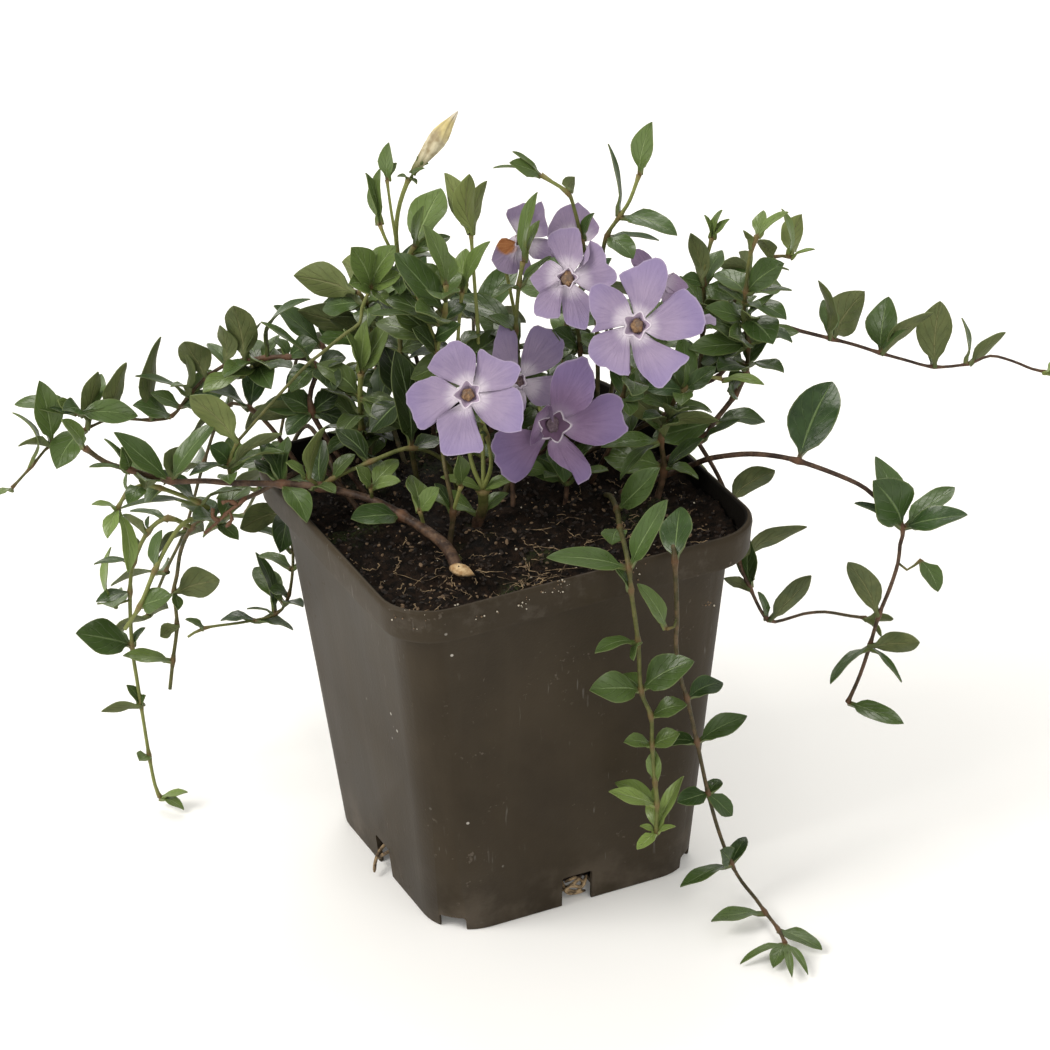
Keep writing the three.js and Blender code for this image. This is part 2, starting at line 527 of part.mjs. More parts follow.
      leaves: [[2, 550, 331, 11, 5, 0.8], [2, 603, 352, -8, 5, 0.7], [1, 548, 372, -14, 7, 0.7]],
    },
  ],
  bloom_lower_stem: [
    {
      radii: [0.95, 0.7],
      course: [soil(14.5, -2.5), [567, 470, -4], [556, 444, -3], behindBloom('bloom_lower')],
      leaves: [[1, 540, 457, 8, 4, 0.6], [1, 590, 466, -6, 3.5, 0.6]],
    },
  ],
  bloom_inner_stem: [
    {
      radii: [0.95, 0.7],
      course: [soil(3, 1), [512, 455, -6], [511, 415, -9], behindBloom('bloom_inner')],
      leaves: [[1, 540, 440, -8, 4, 0.6]],
    },
  ],
  bloom_top_stem: [
    {
      radii: [0.95, 0.65],
      course: [soil(7, 24), [560, 400, -30], [566, 330, -30], behindBloom('bloom_top')],
      leaves: [[1, 530, 372, -12, 6, 0.7], [2, 600, 318, -10, 5, 0.7]],
    },
  ],
  bloom_hidden_stem: [
    {
      radii: [0.95, 0.65],
      course: [soil(19, 24), [640, 400, -28], [652, 340, -24], behindBloom('bloom_hidden')],
      leaves: [[1, 672, 372, -11, 6, 0.7], [2, 622, 318, -10, 5, 0.7]],
    },
  ],
};

// Back runners, which arch over the rear of the rim: root on the soil, heading, rise, reach and drop
const BACK_RUNNERS = [
  { name: 'back_runner_1', root: [-16, 37], heading: 116, rise: 26, reach: 50, drop: 34 },
  { name: 'back_runner_2', root: [-1, 33], heading: 95, rise: 32, reach: 61, drop: 46 },
  { name: 'back_runner_3', root: [14, 36], heading: 80, rise: 24, reach: 47, drop: 58 },
  { name: 'back_runner_4', root: [30, 34], heading: 47, rise: 27, reach: 58, drop: 38 },
  { name: 'back_runner_5', root: [-33, 36], heading: 138, rise: 17, reach: 46, drop: 48 },
];
const BACK_POINTS = 8;
const BACK_SWAY = 9;
const BACK_CREST = 0.45;
const BACK_RADII = [0.95, 0.6];
const BACK_LEAF = 17;
const BACK_LEAF_WIDTH = 8;
const SEED = 20;

// Finish of each kind of piece
const FINISHES = {
  pot: { color: 0x3e3a35, roughness: 0.55 },
  soil: { color: 0x1f1813, roughness: 0.95 },
  foliage: { color: 0x3f6330, roughness: 0.42 },
  petals: { color: 0xa08fb4, roughness: 0.6 },
  eye: { color: 0x9c7446, roughness: 0.7 },
  bud: { color: 0xcfc489, roughness: 0.6 },
};

// A closed mesh from points and triangles, turned so that its faces point out
function solidOf(points, triangles) {
  let volume = 0;
  for (const [a, b, c] of triangles) {
    volume += points[a].dot(new THREE.Vector3().crossVectors(points[b], points[c]));
  }
  const faces = volume < 0 ? triangles.map(([a, b, c]) => [a, c, b]) : triangles;
  return new wasm.Manifold(new wasm.Mesh({
    numProp: 3,
    vertProperties: new Float32Array(points.flatMap((p) => [p.x, p.y, p.z])),
    triVerts: new Uint32Array(faces.flat()),
  }));
}

// Rings of equal size joined one to the next, both ends closed by fans or drawn to a point
function loft(rings) {
  const points = rings.flat();
  const triangles = [];
  let start = 0;
  for (let i = 0; i + 1 < rings.length; i += 1) {
    const here = rings[i].length;
    const next = rings[i + 1].length;
    const sides = Math.max(here, next);
    for (let k = 0; k < sides; k += 1) {
      const a = start + (k % here);
      const b = start + ((k + 1) % here);
      const c = start + here + (k % next);
      const d = start + here + ((k + 1) % next);
      if (a !== b) triangles.push([a, b, d]);
      if (c !== d) triangles.push([a, d, c]);
    }
    start += here;
  }
  const last = rings[rings.length - 1].length;
  for (let k = 1; k + 1 < rings[0].length; k += 1) triangles.push([0, k + 1, k]);
  for (let k = 1; k + 1 < last; k += 1) triangles.push([start, start + k, start + k + 1]);
  return solidOf(points, triangles);
}

const union = (solids) => wasm.Manifold.union(solids);

function random(seed) {
  let state = seed;
  return () => {
    state = (state * 16807) % 2147483647;
    return state / 2147483647;
  };
}

// Smooth curve through the course points, with `between` added points in each long stretch
function smoothCourse(points, radii, between) {
  const stations = [];
  const last = points.length - 1;
  for (let i = 0; i < last; i += 1) {
    const before = points[Math.max(0, i - 1)];
    const here = points[i];
    const next = points[i + 1];
    const after = points[Math.min(last, i + 2)];
    const steps = here.distanceTo(next) > between ? 2 : 1;
    for (let s = 0; s < steps; s += 1) {
      const t = s / steps;
      const middle = here.clone().multiplyScalar(2)
        .addScaledVector(next.clone().sub(before), t)
        .addScaledVector(before.clone().multiplyScalar(2).addScaledVector(here, -5)
          .addScaledVector(next, 4).sub(after), t * t)
        .addScaledVector(before.clone().negate().addScaledVector(here, 3)
          .addScaledVector(next, -3).add(after), t * t * t)
        .multiplyScalar(0.5);
      stations.push({ at: middle, radius: THREE.MathUtils.lerp(radii[0], radii[1], (i + t) / last) });
    }
  }
  stations.push({ at: points[last].clone(), radius: radii[1] });
  return stations;
}

// A round rod through the stations
function rod(stations, sides) {
  const rings = [];
  let side = null;
  stations.forEach((station, i) => {
    const ahead = stations[Math.min(i + 1, stations.length - 1)].at;
    const behind = stations[Math.max(i - 1, 0)].at;
    const along = ahead.clone().sub(behind).normalize();
    const level = Math.abs(along.z) > 0.9 ? LEVEL_RIGHT : vector(0, 0, 1);
    if (!side) side = new THREE.Vector3().crossVectors(along, level);
    side.addScaledVector(along, -side.dot(along)).normalize();
    const other = new THREE.Vector3().crossVectors(along, side);
    rings.push(Array.from({ length: sides }, (_, k) => {
      const angle = (2 * Math.PI * k) / sides;
      return station.at.clone()
        .addScaledVector(side, station.radius * Math.cos(angle))
        .addScaledVector(other, station.radius * Math.sin(angle));
    }));
  });
  return loft(rings);
}

// One leaf: it widens from its root in the stem to an ovate blade, folded up along its midrib and arched
function leafBlade(base, tip, upper, width, extraArch = 0) {
  const span = tip.clone().sub(base);
  const length = span.length();
  const along = span.clone().normalize();
  const normal = upper.clone().addScaledVector(along, -upper.dot(along)).normalize();
  const across = new THREE.Vector3().crossVectors(normal, along);
  let outline = [[0.4, 1], [0.76, 0.82]];
  if (length > LONG_BLADE) outline = [[0.33, 0.84], [0.57, 1], [0.82, 0.62]];
  if (length < SMALL_BLADE) outline = [[0.5, 1]];
  const arch = (BLADE_ARCH + extraArch) * length;
  const rings = outline.map(([t, share]) => {
    const half = (share * width) / 2;
    const lift = arch * 4 * t * (1 - t);
    const middle = base.clone().addScaledVector(span, t).addScaledVector(normal, lift);
    const edge = BLADE_THICK / 3 + half * BLADE_FOLD;
    const keel = (BLADE_THICK * 2) / 3;
    return [
      middle.clone().addScaledVector(across, half).addScaledVector(normal, edge),
      middle.clone().addScaledVector(across, -half).addScaledVector(normal, edge),
      middle.clone().addScaledVector(normal, -keel),
    ];
  });
  return loft([[base.clone().addScaledVector(along, -ROOT_OVERLAP)], ...rings, [tip.clone()]]);
}

// The upper side of a leaf that shows `facing` of its face to the eye, and otherwise looks upward
function upperSide(base, tip, facing) {
  if (tip.z <= LYING_TIP) return vector(0, 0, 1);
  const along = tip.clone().sub(base).normalize();
  const toEye = EYE.clone().sub(base);
  toEye.addScaledVector(along, -toEye.dot(along)).normalize();
  const aside = new THREE.Vector3().crossVectors(along, toEye);
  if (aside.z < 0) aside.negate();
  return toEye.multiplyScalar(facing).addScaledVector(aside, Math.sqrt(1 - facing * facing));
}

// Blooms in their own frames
function bloomFrame(name) {
  const bloom = BLOOMS[name];
  const [right, up, toward] = bloom.facing;
  const normal = RIGHT.clone().multiplyScalar(right)
    .addScaledVector(UP, up)
    .addScaledVector(BACK, toward)
    .normalize();
  const first = RIGHT.clone().addScaledVector(normal, -RIGHT.dot(normal)).normalize();
  const second = new THREE.Vector3().crossVectors(normal, first);
  return { centre: seen(...bloom.at), normal, first, second, turn: bloom.turn, reach: bloom.reach };
}

// The course as points; a flower stalk comes to the back of its bloom straight along the bloom's axis
function placeCourse(course) {
  const points = course.map(placePoint);
  const last = course[course.length - 1];
  if (last.bloom) {
    const end = points.pop();
    points.push(end.clone().addScaledVector(bloomFrame(last.bloom).normal, -STALK_NECK), end);
  }
  return points;
}

function placePoint(point) {
  if (point.soil) return vector(point.soil[0], point.soil[1], SOIL_LEVEL);
  if (point.above) return vector(...point.above);
  if (point.lying) return seenAtHeight(...point.lying);
  if (point.bloom) {
    const frame = bloomFrame(point.bloom);
    return frame.centre.clone().addScaledVector(frame.normal, -(TUBE_LENGTH + GAP));
  }
  return seen(...point);
}

const stemHoles = [];

// Sinks a stem's start straight down into the soil, and notes the plain hole that it stands in
function rootStem(stations) {
  const [start, next] = stations;
  const foot = start.at.clone().add(vector(0, 0, -ROOT_DEPTH));
  const hole = (start.radius + GAP) * Math.SQRT2;
  stemHoles.push(rod([
    { at: foot.clone().add(vector(0, 0, -GAP)), radius: hole },
    { at: start.at.clone(), radius: hole },
    { at: next.at.clone().sub(start.at).setLength(ROOT_DEPTH).add(start.at), radius: hole },
  ], 4));
  stations.unshift({ at: foot, radius: start.radius });
}

// One strand of a spray: its stem, rooted in the soil where it starts there, and its leaves
function strandSolids(strand) {
  const points = placeCourse(strand.course);
  const stations = smoothCourse(points, strand.radii, COURSE_STEP);
  if (strand.course[0].soil) rootStem(stations);
  const solids = [rod(stations, STEM_SIDES)];
  for (const [at, x, y, reach, width, facing, arch] of strand.leaves) {
    const base = points[at];
    const tip = seenAtReach(x, y, base, reach);
    solids.push(leafBlade(base, tip, upperSide(base, tip, facing), width, arch));
  }
  return solids;
}

// A back runner rises from the soil, arches over the rim and hangs, with leaves in crossed pairs
function backRunnerSolids(runner, index) {
  const draw = random(SEED + index);
  const heading = radians(runner.heading);
  const outward = vector(Math.cos(heading), Math.sin(heading), 0);
  const sideways = vector(-outward.y, outward.x, 0);
  const root = vector(runner.root[0], runner.root[1], SOIL_LEVEL);
  const sway = (draw() - 0.5) * 2 * BACK_SWAY;
  const points = Array.from({ length: BACK_POINTS }, (_, i) => {
    const t = i / (BACK_POINTS - 1);
    const arch = runner.rise * Math.sin(Math.PI * Math.min(1, t * 1.5));
    const fall = 2 * runner.drop * Math.max(0, t - BACK_CREST) ** 1.2;
    return root.clone()
      .addScaledVector(outward, runner.reach * t)
      .addScaledVector(sideways, sway * t * t)
      .add(vector(0, 0, arch - fall));
  });
  const stations = smoothCourse(points, BACK_RADII, COURSE_STEP);
  rootStem(stations);
  const solids = [rod(stations, STEM_SIDES)];
  for (let i = 2; i < BACK_POINTS; i += 1) {
    const along = points[Math.min(i + 1, BACK_POINTS - 1)].clone().sub(points[i - 1]).normalize();
    const level = new THREE.Vector3().crossVectors(along, vector(0, 0, 1)).normalize();
    const over = new THREE.Vector3().crossVectors(level, along);
    for (const hand of [1, -1]) {
      const lift = i % 2 ? 0.1 : 0.75;
      const length = BACK_LEAF * (0.7 + 0.4 * draw()) * (1 - 0.3 * (i / BACK_POINTS));
      const direction = level.clone().multiplyScalar(hand * (1 - lift / 2))
        .addScaledVector(over, lift * (0.3 + draw()))
        .addScaledVector(along, 0.3 + 0.7 * draw());
      const tip = points[i].clone().addScaledVector(direction.normalize(), length);
      solids.push(leafBlade(points[i], tip, over, BACK_LEAF_WIDTH * (length / BACK_LEAF)));
    }
  }
  return solids;
}

// Petal: widens from the throat and ends in a slanting edge with one corner drawn out, as a pinwheel's
function petalBlade(frame, index) {
  const angle = radians(frame.turn + (360 / PETALS) * index);
  const outward = turned(frame.first, frame.second, angle);
  const across = new THREE.Vector3().crossVectors(frame.normal, outward);
  const size = frame.reach / PETAL_REACH;
  const rings = PETAL_OUTLINE.map(([leftOut, leftAside, rightAside, rightOut]) => {
    const place = (out, aside, lift) => frame.centre.clone()
      .addScaledVector(outward, PETAL_ROOT + (out - PETAL_ROOT) * size)
      .addScaledVector(across, aside * size)
      .addScaledVector(frame.normal, lift + 1.2 * (out / PETAL_REACH) - 1.6 * (out / PETAL_REACH) ** 2);
    return [
      place(leftOut, leftAside, BLADE_THICK / 2),
      place(rightOut, -rightAside, BLADE_THICK / 2 - 0.3),
      place((leftOut + rightOut) / 2, 0, -BLADE_THICK / 2),
    ];
  });
  return loft(rings);
}

// Rings of points round a bloom's axis: [mm along the axis, radius]
function bloomRings(frame, profile) {
  return profile.map(([along, radius]) => Array.from({ length: PETALS }, (_, k) => {
    const angle = radians(frame.turn + 36 + 72 * k);
    return frame.centre.clone()
      .addScaledVector(frame.normal, along)
      .addScaledVector(frame.first, radius * Math.cos(angle))
      .addScaledVector(frame.second, radius * Math.sin(angle));
  }));
}

function corolla(frame) {
  const tube = loft(bloomRings(frame, [[-TUBE_LENGTH, 1], [-3, 1.6], [0.4, 2.9], [-1.6, 1.4]]));
  return union([tube, ...Array.from({ length: PETALS }, (_, k) => petalBlade(frame, k))]);
}

const eyeOf = (frame) => loft(bloomRings(frame, [[-1.2, 0.7], [-0.1, 1.6], [0.2, 0.8]]));

// Furled bud: a spiral spindle that stands on its calyx
const BUD_PROFILE = [[0, 0.9], [4, 1.5], [8, 2.2], [11.5, 1.9], [15, 0.8]];
const BUD_TIP = 17;
const BUD_CLEARANCE = 1.9;

function furledBud() {
  const base = placePoint(SPRAYS.crown_left_tall[0].course[6]);
  const tip = seenAtReach(453, 118, base, BUD_TIP);
  const along = tip.clone().sub(base).normalize();
  const start = base.clone().addScaledVector(along, BUD_CLEARANCE);
  const side = new THREE.Vector3().crossVectors(along, BACK).normalize();
  const other = new THREE.Vector3().crossVectors(along, side);
  const rings = BUD_PROFILE.map(([out, radius], i) => Array.from({ length: 6 }, (_, k) => {
    const angle = radians(60 * k + 18 * i);
    return start.clone()
      .addScaledVector(along, out)
      .addScaledVector(side, radius * Math.cos(angle))
      .addScaledVector(other, radius * Math.sin(angle));
  }));
  rings.push([start.clone().addScaledVector(along, BUD_TIP)]);
  return loft(rings);
}

// A level ring of the pot's rounded-square outline
function squareRing(half, corner, z) {
  const ring = [];
  for (let quarter = 0; quarter < 4; quarter += 1) {
    for (let step = 0; step <= CORNER_STEPS; step += 1) {
      const angle = (Math.PI / 2) * (quarter + step / CORNER_STEPS);
      const cornerAngle = Math.PI / 4 + (Math.PI / 2) * quarter;
      const cx = Math.sign(Math.cos(cornerAngle)) * (half - corner);
      const cy = Math.sign(Math.sin(cornerAngle)) * (half - corner);
      ring.push(vector(cx + corner * Math.cos(angle), cy + corner * Math.sin(angle), z));
    }
  }
  return ring;
}

// Half width and corner radius of the wall's outside at a height
const wallHalf = (z) => THREE.MathUtils.lerp(BASE_HALF, WALL_HALF_TOP, z / POT_HEIGHT);
const wallCorner = (z) => THREE.MathUtils.lerp(BASE_CORNER, RIM_CORNER, z / POT_HEIGHT);

function wallRing(z, inset) {
  return squareRing(wallHalf(z) - inset, wallCorner(z) - inset, z);
}

function blockSolid(width, depth, height, x, y, z, turn) {
  const geometry = new THREE.BoxGeometry(width, depth, height);
  geometry.translate(0, 0, z + height / 2);
  geometry.rotateZ(turn);
  geometry.translate(x, y, 0);
  const corners = [];
  const index = new Map();
  const position = geometry.getAttribute('position');
  const order = Array.from({ length: position.count }, (_, i) => {
    const key = [position.getX(i), position.getY(i), position.getZ(i)].map((n) => n.toFixed(4)).join();
    if (!index.has(key)) {
      index.set(key, corners.length);
      corners.push(new THREE.Vector3().fromBufferAttribute(position, i));
    }
    return index.get(key);
  });
  const faces = geometry.getIndex().array;
  const triangles = [];
  for (let i = 0; i < faces.length; i += 3) {
    triangles.push([order[faces[i]], order[faces[i + 1]], order[faces[i + 2]]]);
  }
  return solidOf(corners, triangles);
}

function potSolid() {
  const bandFoot = POT_HEIGHT - BAND_HEIGHT;
  const bandHalf = RIM_HALF - 0.6;
  const outer = loft([
    wallRing(0, 0),
    wallRing(bandFoot, 0),
    squareRing(bandHalf, RIM_CORNER, bandFoot + 0.8),
    squareRing(RIM_HALF, RIM_CORNER, POT_HEIGHT - 1.4),
    squareRing(RIM_HALF - 0.4, RIM_CORNER, POT_HEIGHT),
  ]);
  const inside = loft([
    wallRing(FLOOR_TOP, WALL),
    wallRing(bandFoot + 1.6, WALL),
    squareRing(bandHalf - WALL, RIM_CORNER - WALL, bandFoot + 2.6),
    squareRing(RIM_HALF - WALL - 0.4, RIM_CORNER - WALL, POT_HEIGHT + 1),
  ]);
  const underside = loft([wallRing(-1, WALL), wallRing(FLOOR_UNDER, WALL)]);
  const foot = loft([0, FLOOR_UNDER + 0.4].map((z) => Array.from({ length: 16 }, (_, k) => {
    const angle = (2 * Math.PI * k) / 16;
    return vector(FOOT_RADIUS * Math.cos(angle), FOOT_RADIUS * Math.sin(angle), z);
  })));
  const cuts = [inside, underside];
  for (let quarter = 0; quarter < 4; quarter += 1) {
    const face = (Math.PI / 2) * quarter;
    const corner = face + Math.PI / 4;
    const cornerReach = (BASE_HALF - BASE_CORNER) * Math.SQRT2 + BASE_CORNER;
    cuts.push(blockSolid(10, DRAIN_WIDTH, DRAIN_HEIGHT + 1,
      Math.cos(face) * BASE_HALF, Math.sin(face) * BASE_HALF, -1, face));
    cuts.push(blockSolid(8, NOTCH_WIDTH, NOTCH_HEIGHT + 1,
      Math.cos(corner) * cornerReach, Math.sin(corner) * cornerReach, -1, corner));
  }
  return outer.subtract(union(cuts)).add(foot);
}

// Root ball: fills the pot below the rim, its crumbly top in low mounds, with a root out of one drain
function rootBallSolid() {
  const fit = WALL + GAP;
  const rings = [
    wallRing(FLOOR_TOP + GAP, fit + 2),
    wallRing(FLOOR_TOP + DRAIN_HEIGHT, fit),
    wallRing(SOIL_LEVEL - 1.5, fit),
  ];
  const mound = (x, y) => (
    MOUND * (Math.sin(x * 0.31 + 1) * Math.cos(y * 0.27) + 0.7 * Math.sin(x * 0.13 - y * 0.17))
  );
  for (const share of [0.86, 0.6, 0.32]) {
    rings.push(wallRing(SOIL_LEVEL, fit).map((p) => {
      const x = p.x * share;
      const y = p.y * share;
      return vector(x, y, SOIL_LEVEL + mound(x, y));
    }));
  }
  const strayRoot = rod([
    { at: vector(-24, 3, 9), radius: 1.2 },
    { at: vector(-31, 2.5, 6.5), radius: 0.8 },
    { at: vector(-36.5, 1, 3.5), radius: 0.6 },
    { at: vector(-38.5, -1.5, 1.2), radius: 0.45 },
  ], STEM_SIDES);
  return loft(rings).add(strayRoot).subtract(union(stemHoles));
}

function meshOf(name, solid, finish) {
  const mesh = solid.getMesh();
  const geometry = new THREE.BufferGeometry();
  const positions = new Float32Array((mesh.vertProperties.length / mesh.numProp) * 3);
  for (let i = 0; i < positions.length / 3; i += 1) {
    positions.set(mesh.vertProperties.subarray(i * mesh.numProp, i * mesh.numProp + 3), i * 3);
  }
  geometry.setAttribute('position', new THREE.BufferAttribute(positions, 3));
  geometry.setIndex(new THREE.BufferAttribute(new Uint32Array(mesh.triVerts), 1));
  const material = new THREE.MeshStandardMaterial({
    ...FINISHES[finish],
    metalness: 0,
    flatShading: true,
  });
  const result = new THREE.Mesh(geometry, material);
  result.name = name;
  return result;
}

const group = new THREE.Group();

for (const [name, strands] of Object.entries(SPRAYS)) {
  group.add(meshOf(name, union(strands.flatMap(strandSolids)), 'foliage'));
}
BACK_RUNNERS.forEach((runner, index) => {
  group.add(meshOf(runner.name, union(backRunnerSolids(runner, index)), 'foliage'));
});
for (const name of Object.keys(BLOOMS)) {
  const frame = bloomFrame(name);
  group.add(meshOf(`${name}_petals`, corolla(frame), 'petals'));
  group.add(meshOf(`${name}_eye`, eyeOf(frame), 'eye'));
}
group.add(meshOf('furled_bud', furledBud(), 'bud'));
group.add(meshOf('root_ball', rootBallSolid(), 'soil'));
group.add(meshOf('pot', potSolid(), 'pot'));

export default group;
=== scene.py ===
import math
import random

import bmesh
import bpy
from mathutils import Matrix, Vector, noise


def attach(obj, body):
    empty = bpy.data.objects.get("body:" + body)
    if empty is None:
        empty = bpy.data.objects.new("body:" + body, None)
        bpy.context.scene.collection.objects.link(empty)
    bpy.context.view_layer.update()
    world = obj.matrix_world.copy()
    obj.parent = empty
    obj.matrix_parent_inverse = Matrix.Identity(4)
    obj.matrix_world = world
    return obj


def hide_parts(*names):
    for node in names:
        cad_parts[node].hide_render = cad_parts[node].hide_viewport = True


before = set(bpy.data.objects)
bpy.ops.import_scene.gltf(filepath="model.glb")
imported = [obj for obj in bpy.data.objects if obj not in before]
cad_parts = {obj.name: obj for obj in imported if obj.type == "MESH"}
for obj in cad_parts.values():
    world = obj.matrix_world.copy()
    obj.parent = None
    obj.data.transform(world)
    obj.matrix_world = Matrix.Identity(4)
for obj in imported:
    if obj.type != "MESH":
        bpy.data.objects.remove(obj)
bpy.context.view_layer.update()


# Pot: a thin square nursery pot in black recycled plastic, injection moulded with its rim band, a
# raised floor, a drain opening in each side and a notch at each corner of the base.

# Pieces are shaped in mm, from the pot's foot, and MM turns them into the frame's metres
MM = 0.001
RIM_HALF = 45
WALL_HALF_TOP = 41.7
BASE_HALF = 33.2
POT_HEIGHT = 92.2
RIM_CORNER = 12.2
BASE_CORNER = 11.8
BAND_FOOT = 83.6
WALL = 1.1
FLOOR_UNDER = 3.8
FLOOR_TOP = 5
FOOT_EASE = 0.4
WALL_SINK = 0.12
WALL_SINK_HEIGHT = 42
DRAIN = (7.6, 8)
DRAIN_DEPTH = 10
NOTCH = (6.5, 3.4)
NOTCH_DEPTH = 8
OPENING_EASE = 0.7
FOOT_RADIUS = 8
FOOT_TAPER = 0.3
CORNER_SEGMENTS = 10
POT_SMOOTH_ANGLE = 35


def wall_at(z, inset):
    """The wall's outside at a height, moved inwards: half width, corner radius and height."""
    share = z / POT_HEIGHT
    half = BASE_HALF + (WALL_HALF_TOP - BASE_HALF) * share
    corner = BASE_CORNER + (RIM_CORNER - BASE_CORNER) * share
    return half - inset, corner - inset, z


def rounded_square(bm, section):
    """A flat face with round corners, at a section's half width, corner radius and height."""
    half, corner, z = section
    made = bmesh.ops.create_grid(bm, x_segments=1, y_segments=1, size=half)
    bmesh.ops.bevel(
        bm, geom=made["verts"], offset=corner, offset_type="OFFSET", segments=CORNER_SEGMENTS,
        profile=0.5, affect="VERTICES", material=-1)
    face = max(bm.faces, key=lambda f: f.calc_area())
    bmesh.ops.translate(bm, vec=(0, 0, z), verts=face.verts)
    return face


def reshape(verts, old, new):
    """Moves a rounded square from one section to another, flats and corners each keeping form."""
    for vert in verts:
        for axis in (0, 1):
            into_corner = abs(vert.co[axis]) - (old[0] - old[1])
            reach = new[0] - new[1] + into_corner * new[1] / old[1]
            vert.co[axis] = math.copysign(reach, vert.co[axis])
        vert.co.z = new[2]


def next_ring(bm, edges):
    """Extrudes a ring of edges, and returns the new ring's edges and its corner points."""
    made = bmesh.ops.extrude_edge_only(bm, edges=edges)["geom"]
    return ([part for part in made if isinstance(part, bmesh.types.BMEdge)],
            [part for part in made if isinstance(part, bmesh.types.BMVert)])


def close_last(bm, edges):
    """Closes the last ring with a face, and turns all faces outwards."""
    bmesh.ops.edgeloop_fill(bm, edges=edges)
    bmesh.ops.recalc_face_normals(bm, faces=bm.faces)


def smooth_shading(mesh, angle=None):
    """Shades a mesh smooth, but sharp along edges that turn by more than an angle in degrees."""
    mesh.polygons.foreach_set("use_smooth", [True] * len(mesh.polygons))
    if angle:
        mesh.set_sharp_from_angle(angle=math.radians(angle))


def piece_of(bm, name, materials, nodes, smooth_angle=None):
    """Makes a finished piece: millimetres to metres, into the scene, onto the CAD's body."""
    bmesh.ops.scale(bm, vec=(MM, MM, MM), verts=bm.verts)
    mesh = bpy.data.meshes.new(name)
    bm.to_mesh(mesh)
    bm.free()
    smooth_shading(mesh, smooth_angle)
    piece = bpy.data.objects.new(name, mesh)
    bpy.context.scene.collection.objects.link(piece)
    for material in materials:
        mesh.materials.append(material)
    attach(piece, "root")
    if nodes:
        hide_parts(*nodes)
    return piece


class Shade:
    """A shader socket. Sums on it add Math nodes, and `node` adds any node by its type."""

    def __init__(self, tree, socket=None):
        self.tree = tree
        self.socket = socket

    def node(self, kind, settings=None, inputs=None, output=0):
        """Adds a node of a kind, with its settings and the values or links of its sockets."""
        made = self.tree.nodes.new("ShaderNode" + kind)
        for key, value in (settings or {}).items():
            setattr(made, key, value)
        for key, value in (inputs or {}).items():
            if isinstance(value, Shade):
                self.tree.links.new(value.socket, made.inputs[key])
            elif isinstance(value, tuple) and made.inputs[key].type == "RGBA":
                made.inputs[key].default_value = (*value, 1)
            else:
                made.inputs[key].default_value = value
        return Shade(self.tree, made.outputs[output])

    def math(self, operation, *operands):
        """The outcome of a Math node on these operands."""
        return self.node("Math", {"operation": operation}, dict(enumerate(operands)))

    def __add__(self, other):
        return self.math("ADD", self, other)

    def __radd__(self, other):
        return self.math("ADD", other, self)

    def __sub__(self, other):
        return self.math("SUBTRACT", self, other)

    def __rsub__(self, other):
        return self.math("SUBTRACT", other, self)

    def __mul__(self, other):
        return self.math("MULTIPLY", self, other)

    def __rmul__(self, other):
        return self.math("MULTIPLY", other, self)

    def step(self, low, high):
        """Rises smoothly from 0 at low to 1 at high, or falls where low is the greater."""
        return self.node("MapRange", {"interpolation_type": "SMOOTHSTEP"},
                         {"Value": self, "From Min": low, "From Max": high})

    def mix(self, first, second):
        """The first colour where this is 0, the second where it is 1."""
        return self.node("Mix", {"data_type": "RGBA"}, {0: self, 6: first, 7: second}, 2)

    def grain(self, scale, detail=3.0, roughness=0.55):
        """Noise on these coordinates."""
        return self.node("TexNoise", None, {"Vector": self, "Scale": scale, "Detail": detail,
                                            "Roughness": roughness})

    def axis(self, name):
        """One of this vector's numbers, by its letter."""
        return self.node("SeparateXYZ", None, {0: self}, name)

    def place(self, output="Object"):
        """The coordinates that a pattern is laid out on."""
        return self.node("TexCoord", None, None, output)

    def mark(self, name):
        """A number kept on the mesh."""
        return self.node("Attribute", {"attribute_name": name}, None, "Fac")


def new_finish(name):
    """A material with an empty surface, and the start of its expressions."""
    material = bpy.data.materials.new(name)
    material.use_nodes = True
    return material, Shade(material.node_tree)


def lay_finish(material, colour, roughness, relief=None, relief_depth=0.0002, fixed=None):
    """Sets a material's surface. Fixed numbers go straight onto the shader's own sockets."""
    surface = material.node_tree.nodes["Principled BSDF"]
    links = material.node_tree.links
    links.new(colour.socket, surface.inputs["Base Color"])
    links.new(roughness.socket, surface.inputs["Roughness"])
    if relief:
        bump = relief.node("Bump", None, {"Height": relief, "Strength": 1.0,
                                          "Distance": relief_depth}, "Normal")
        links.new(bump.socket, surface.inputs["Normal"])
    for key, value in (fixed or {}).items():
        surface.inputs[key].default_value = value


pot_plastic, shade = new_finish("pot_plastic")
spot = shade.place()
height = spot.axis("Z")
flow = spot.node("Mapping", None, {"Vector": spot, "Scale": (1, 1, 0.16)}).grain(130, 4, 0.6)
cloud = spot.grain(34, 4, 0.6)
dust = spot.grain(620, 2, 0.6).step(0.64, 0.74) * spot.grain(60, 2).step(0.5, 0.66)
speck = spot.node("TexVoronoi", None, {"Vector": spot, "Scale": 190.0}, "Distance")
speck = speck.step(0.085, 0.05) * spot.grain(48, 2).step(0.56, 0.66)
scratch = spot.node("Mapping", None, {"Vector": spot, "Scale": (1, 1, 0.1)}).grain(900, 2)
scratch = scratch.step(0.66, 0.74) * cloud.step(0.5, 0.62)
body_tone = cloud.step(0.3, 0.72).mix((0.029, 0.0212, 0.0124), (0.0405, 0.03, 0.0178))
body_tone = (flow.step(0.42, 0.7) * 0.3).mix(body_tone, (0.048, 0.037, 0.024))
rim_rub = height.step(0.0835, 0.0845) * spot.grain(210, 4, 0.65).step(0.5, 0.72)
body_tone = (rim_rub * 0.45).mix(body_tone, (0.075, 0.062, 0.048))
foot_dust = height.step(0.02, 0.0) * spot.grain(90, 4).step(0.42, 0.7)
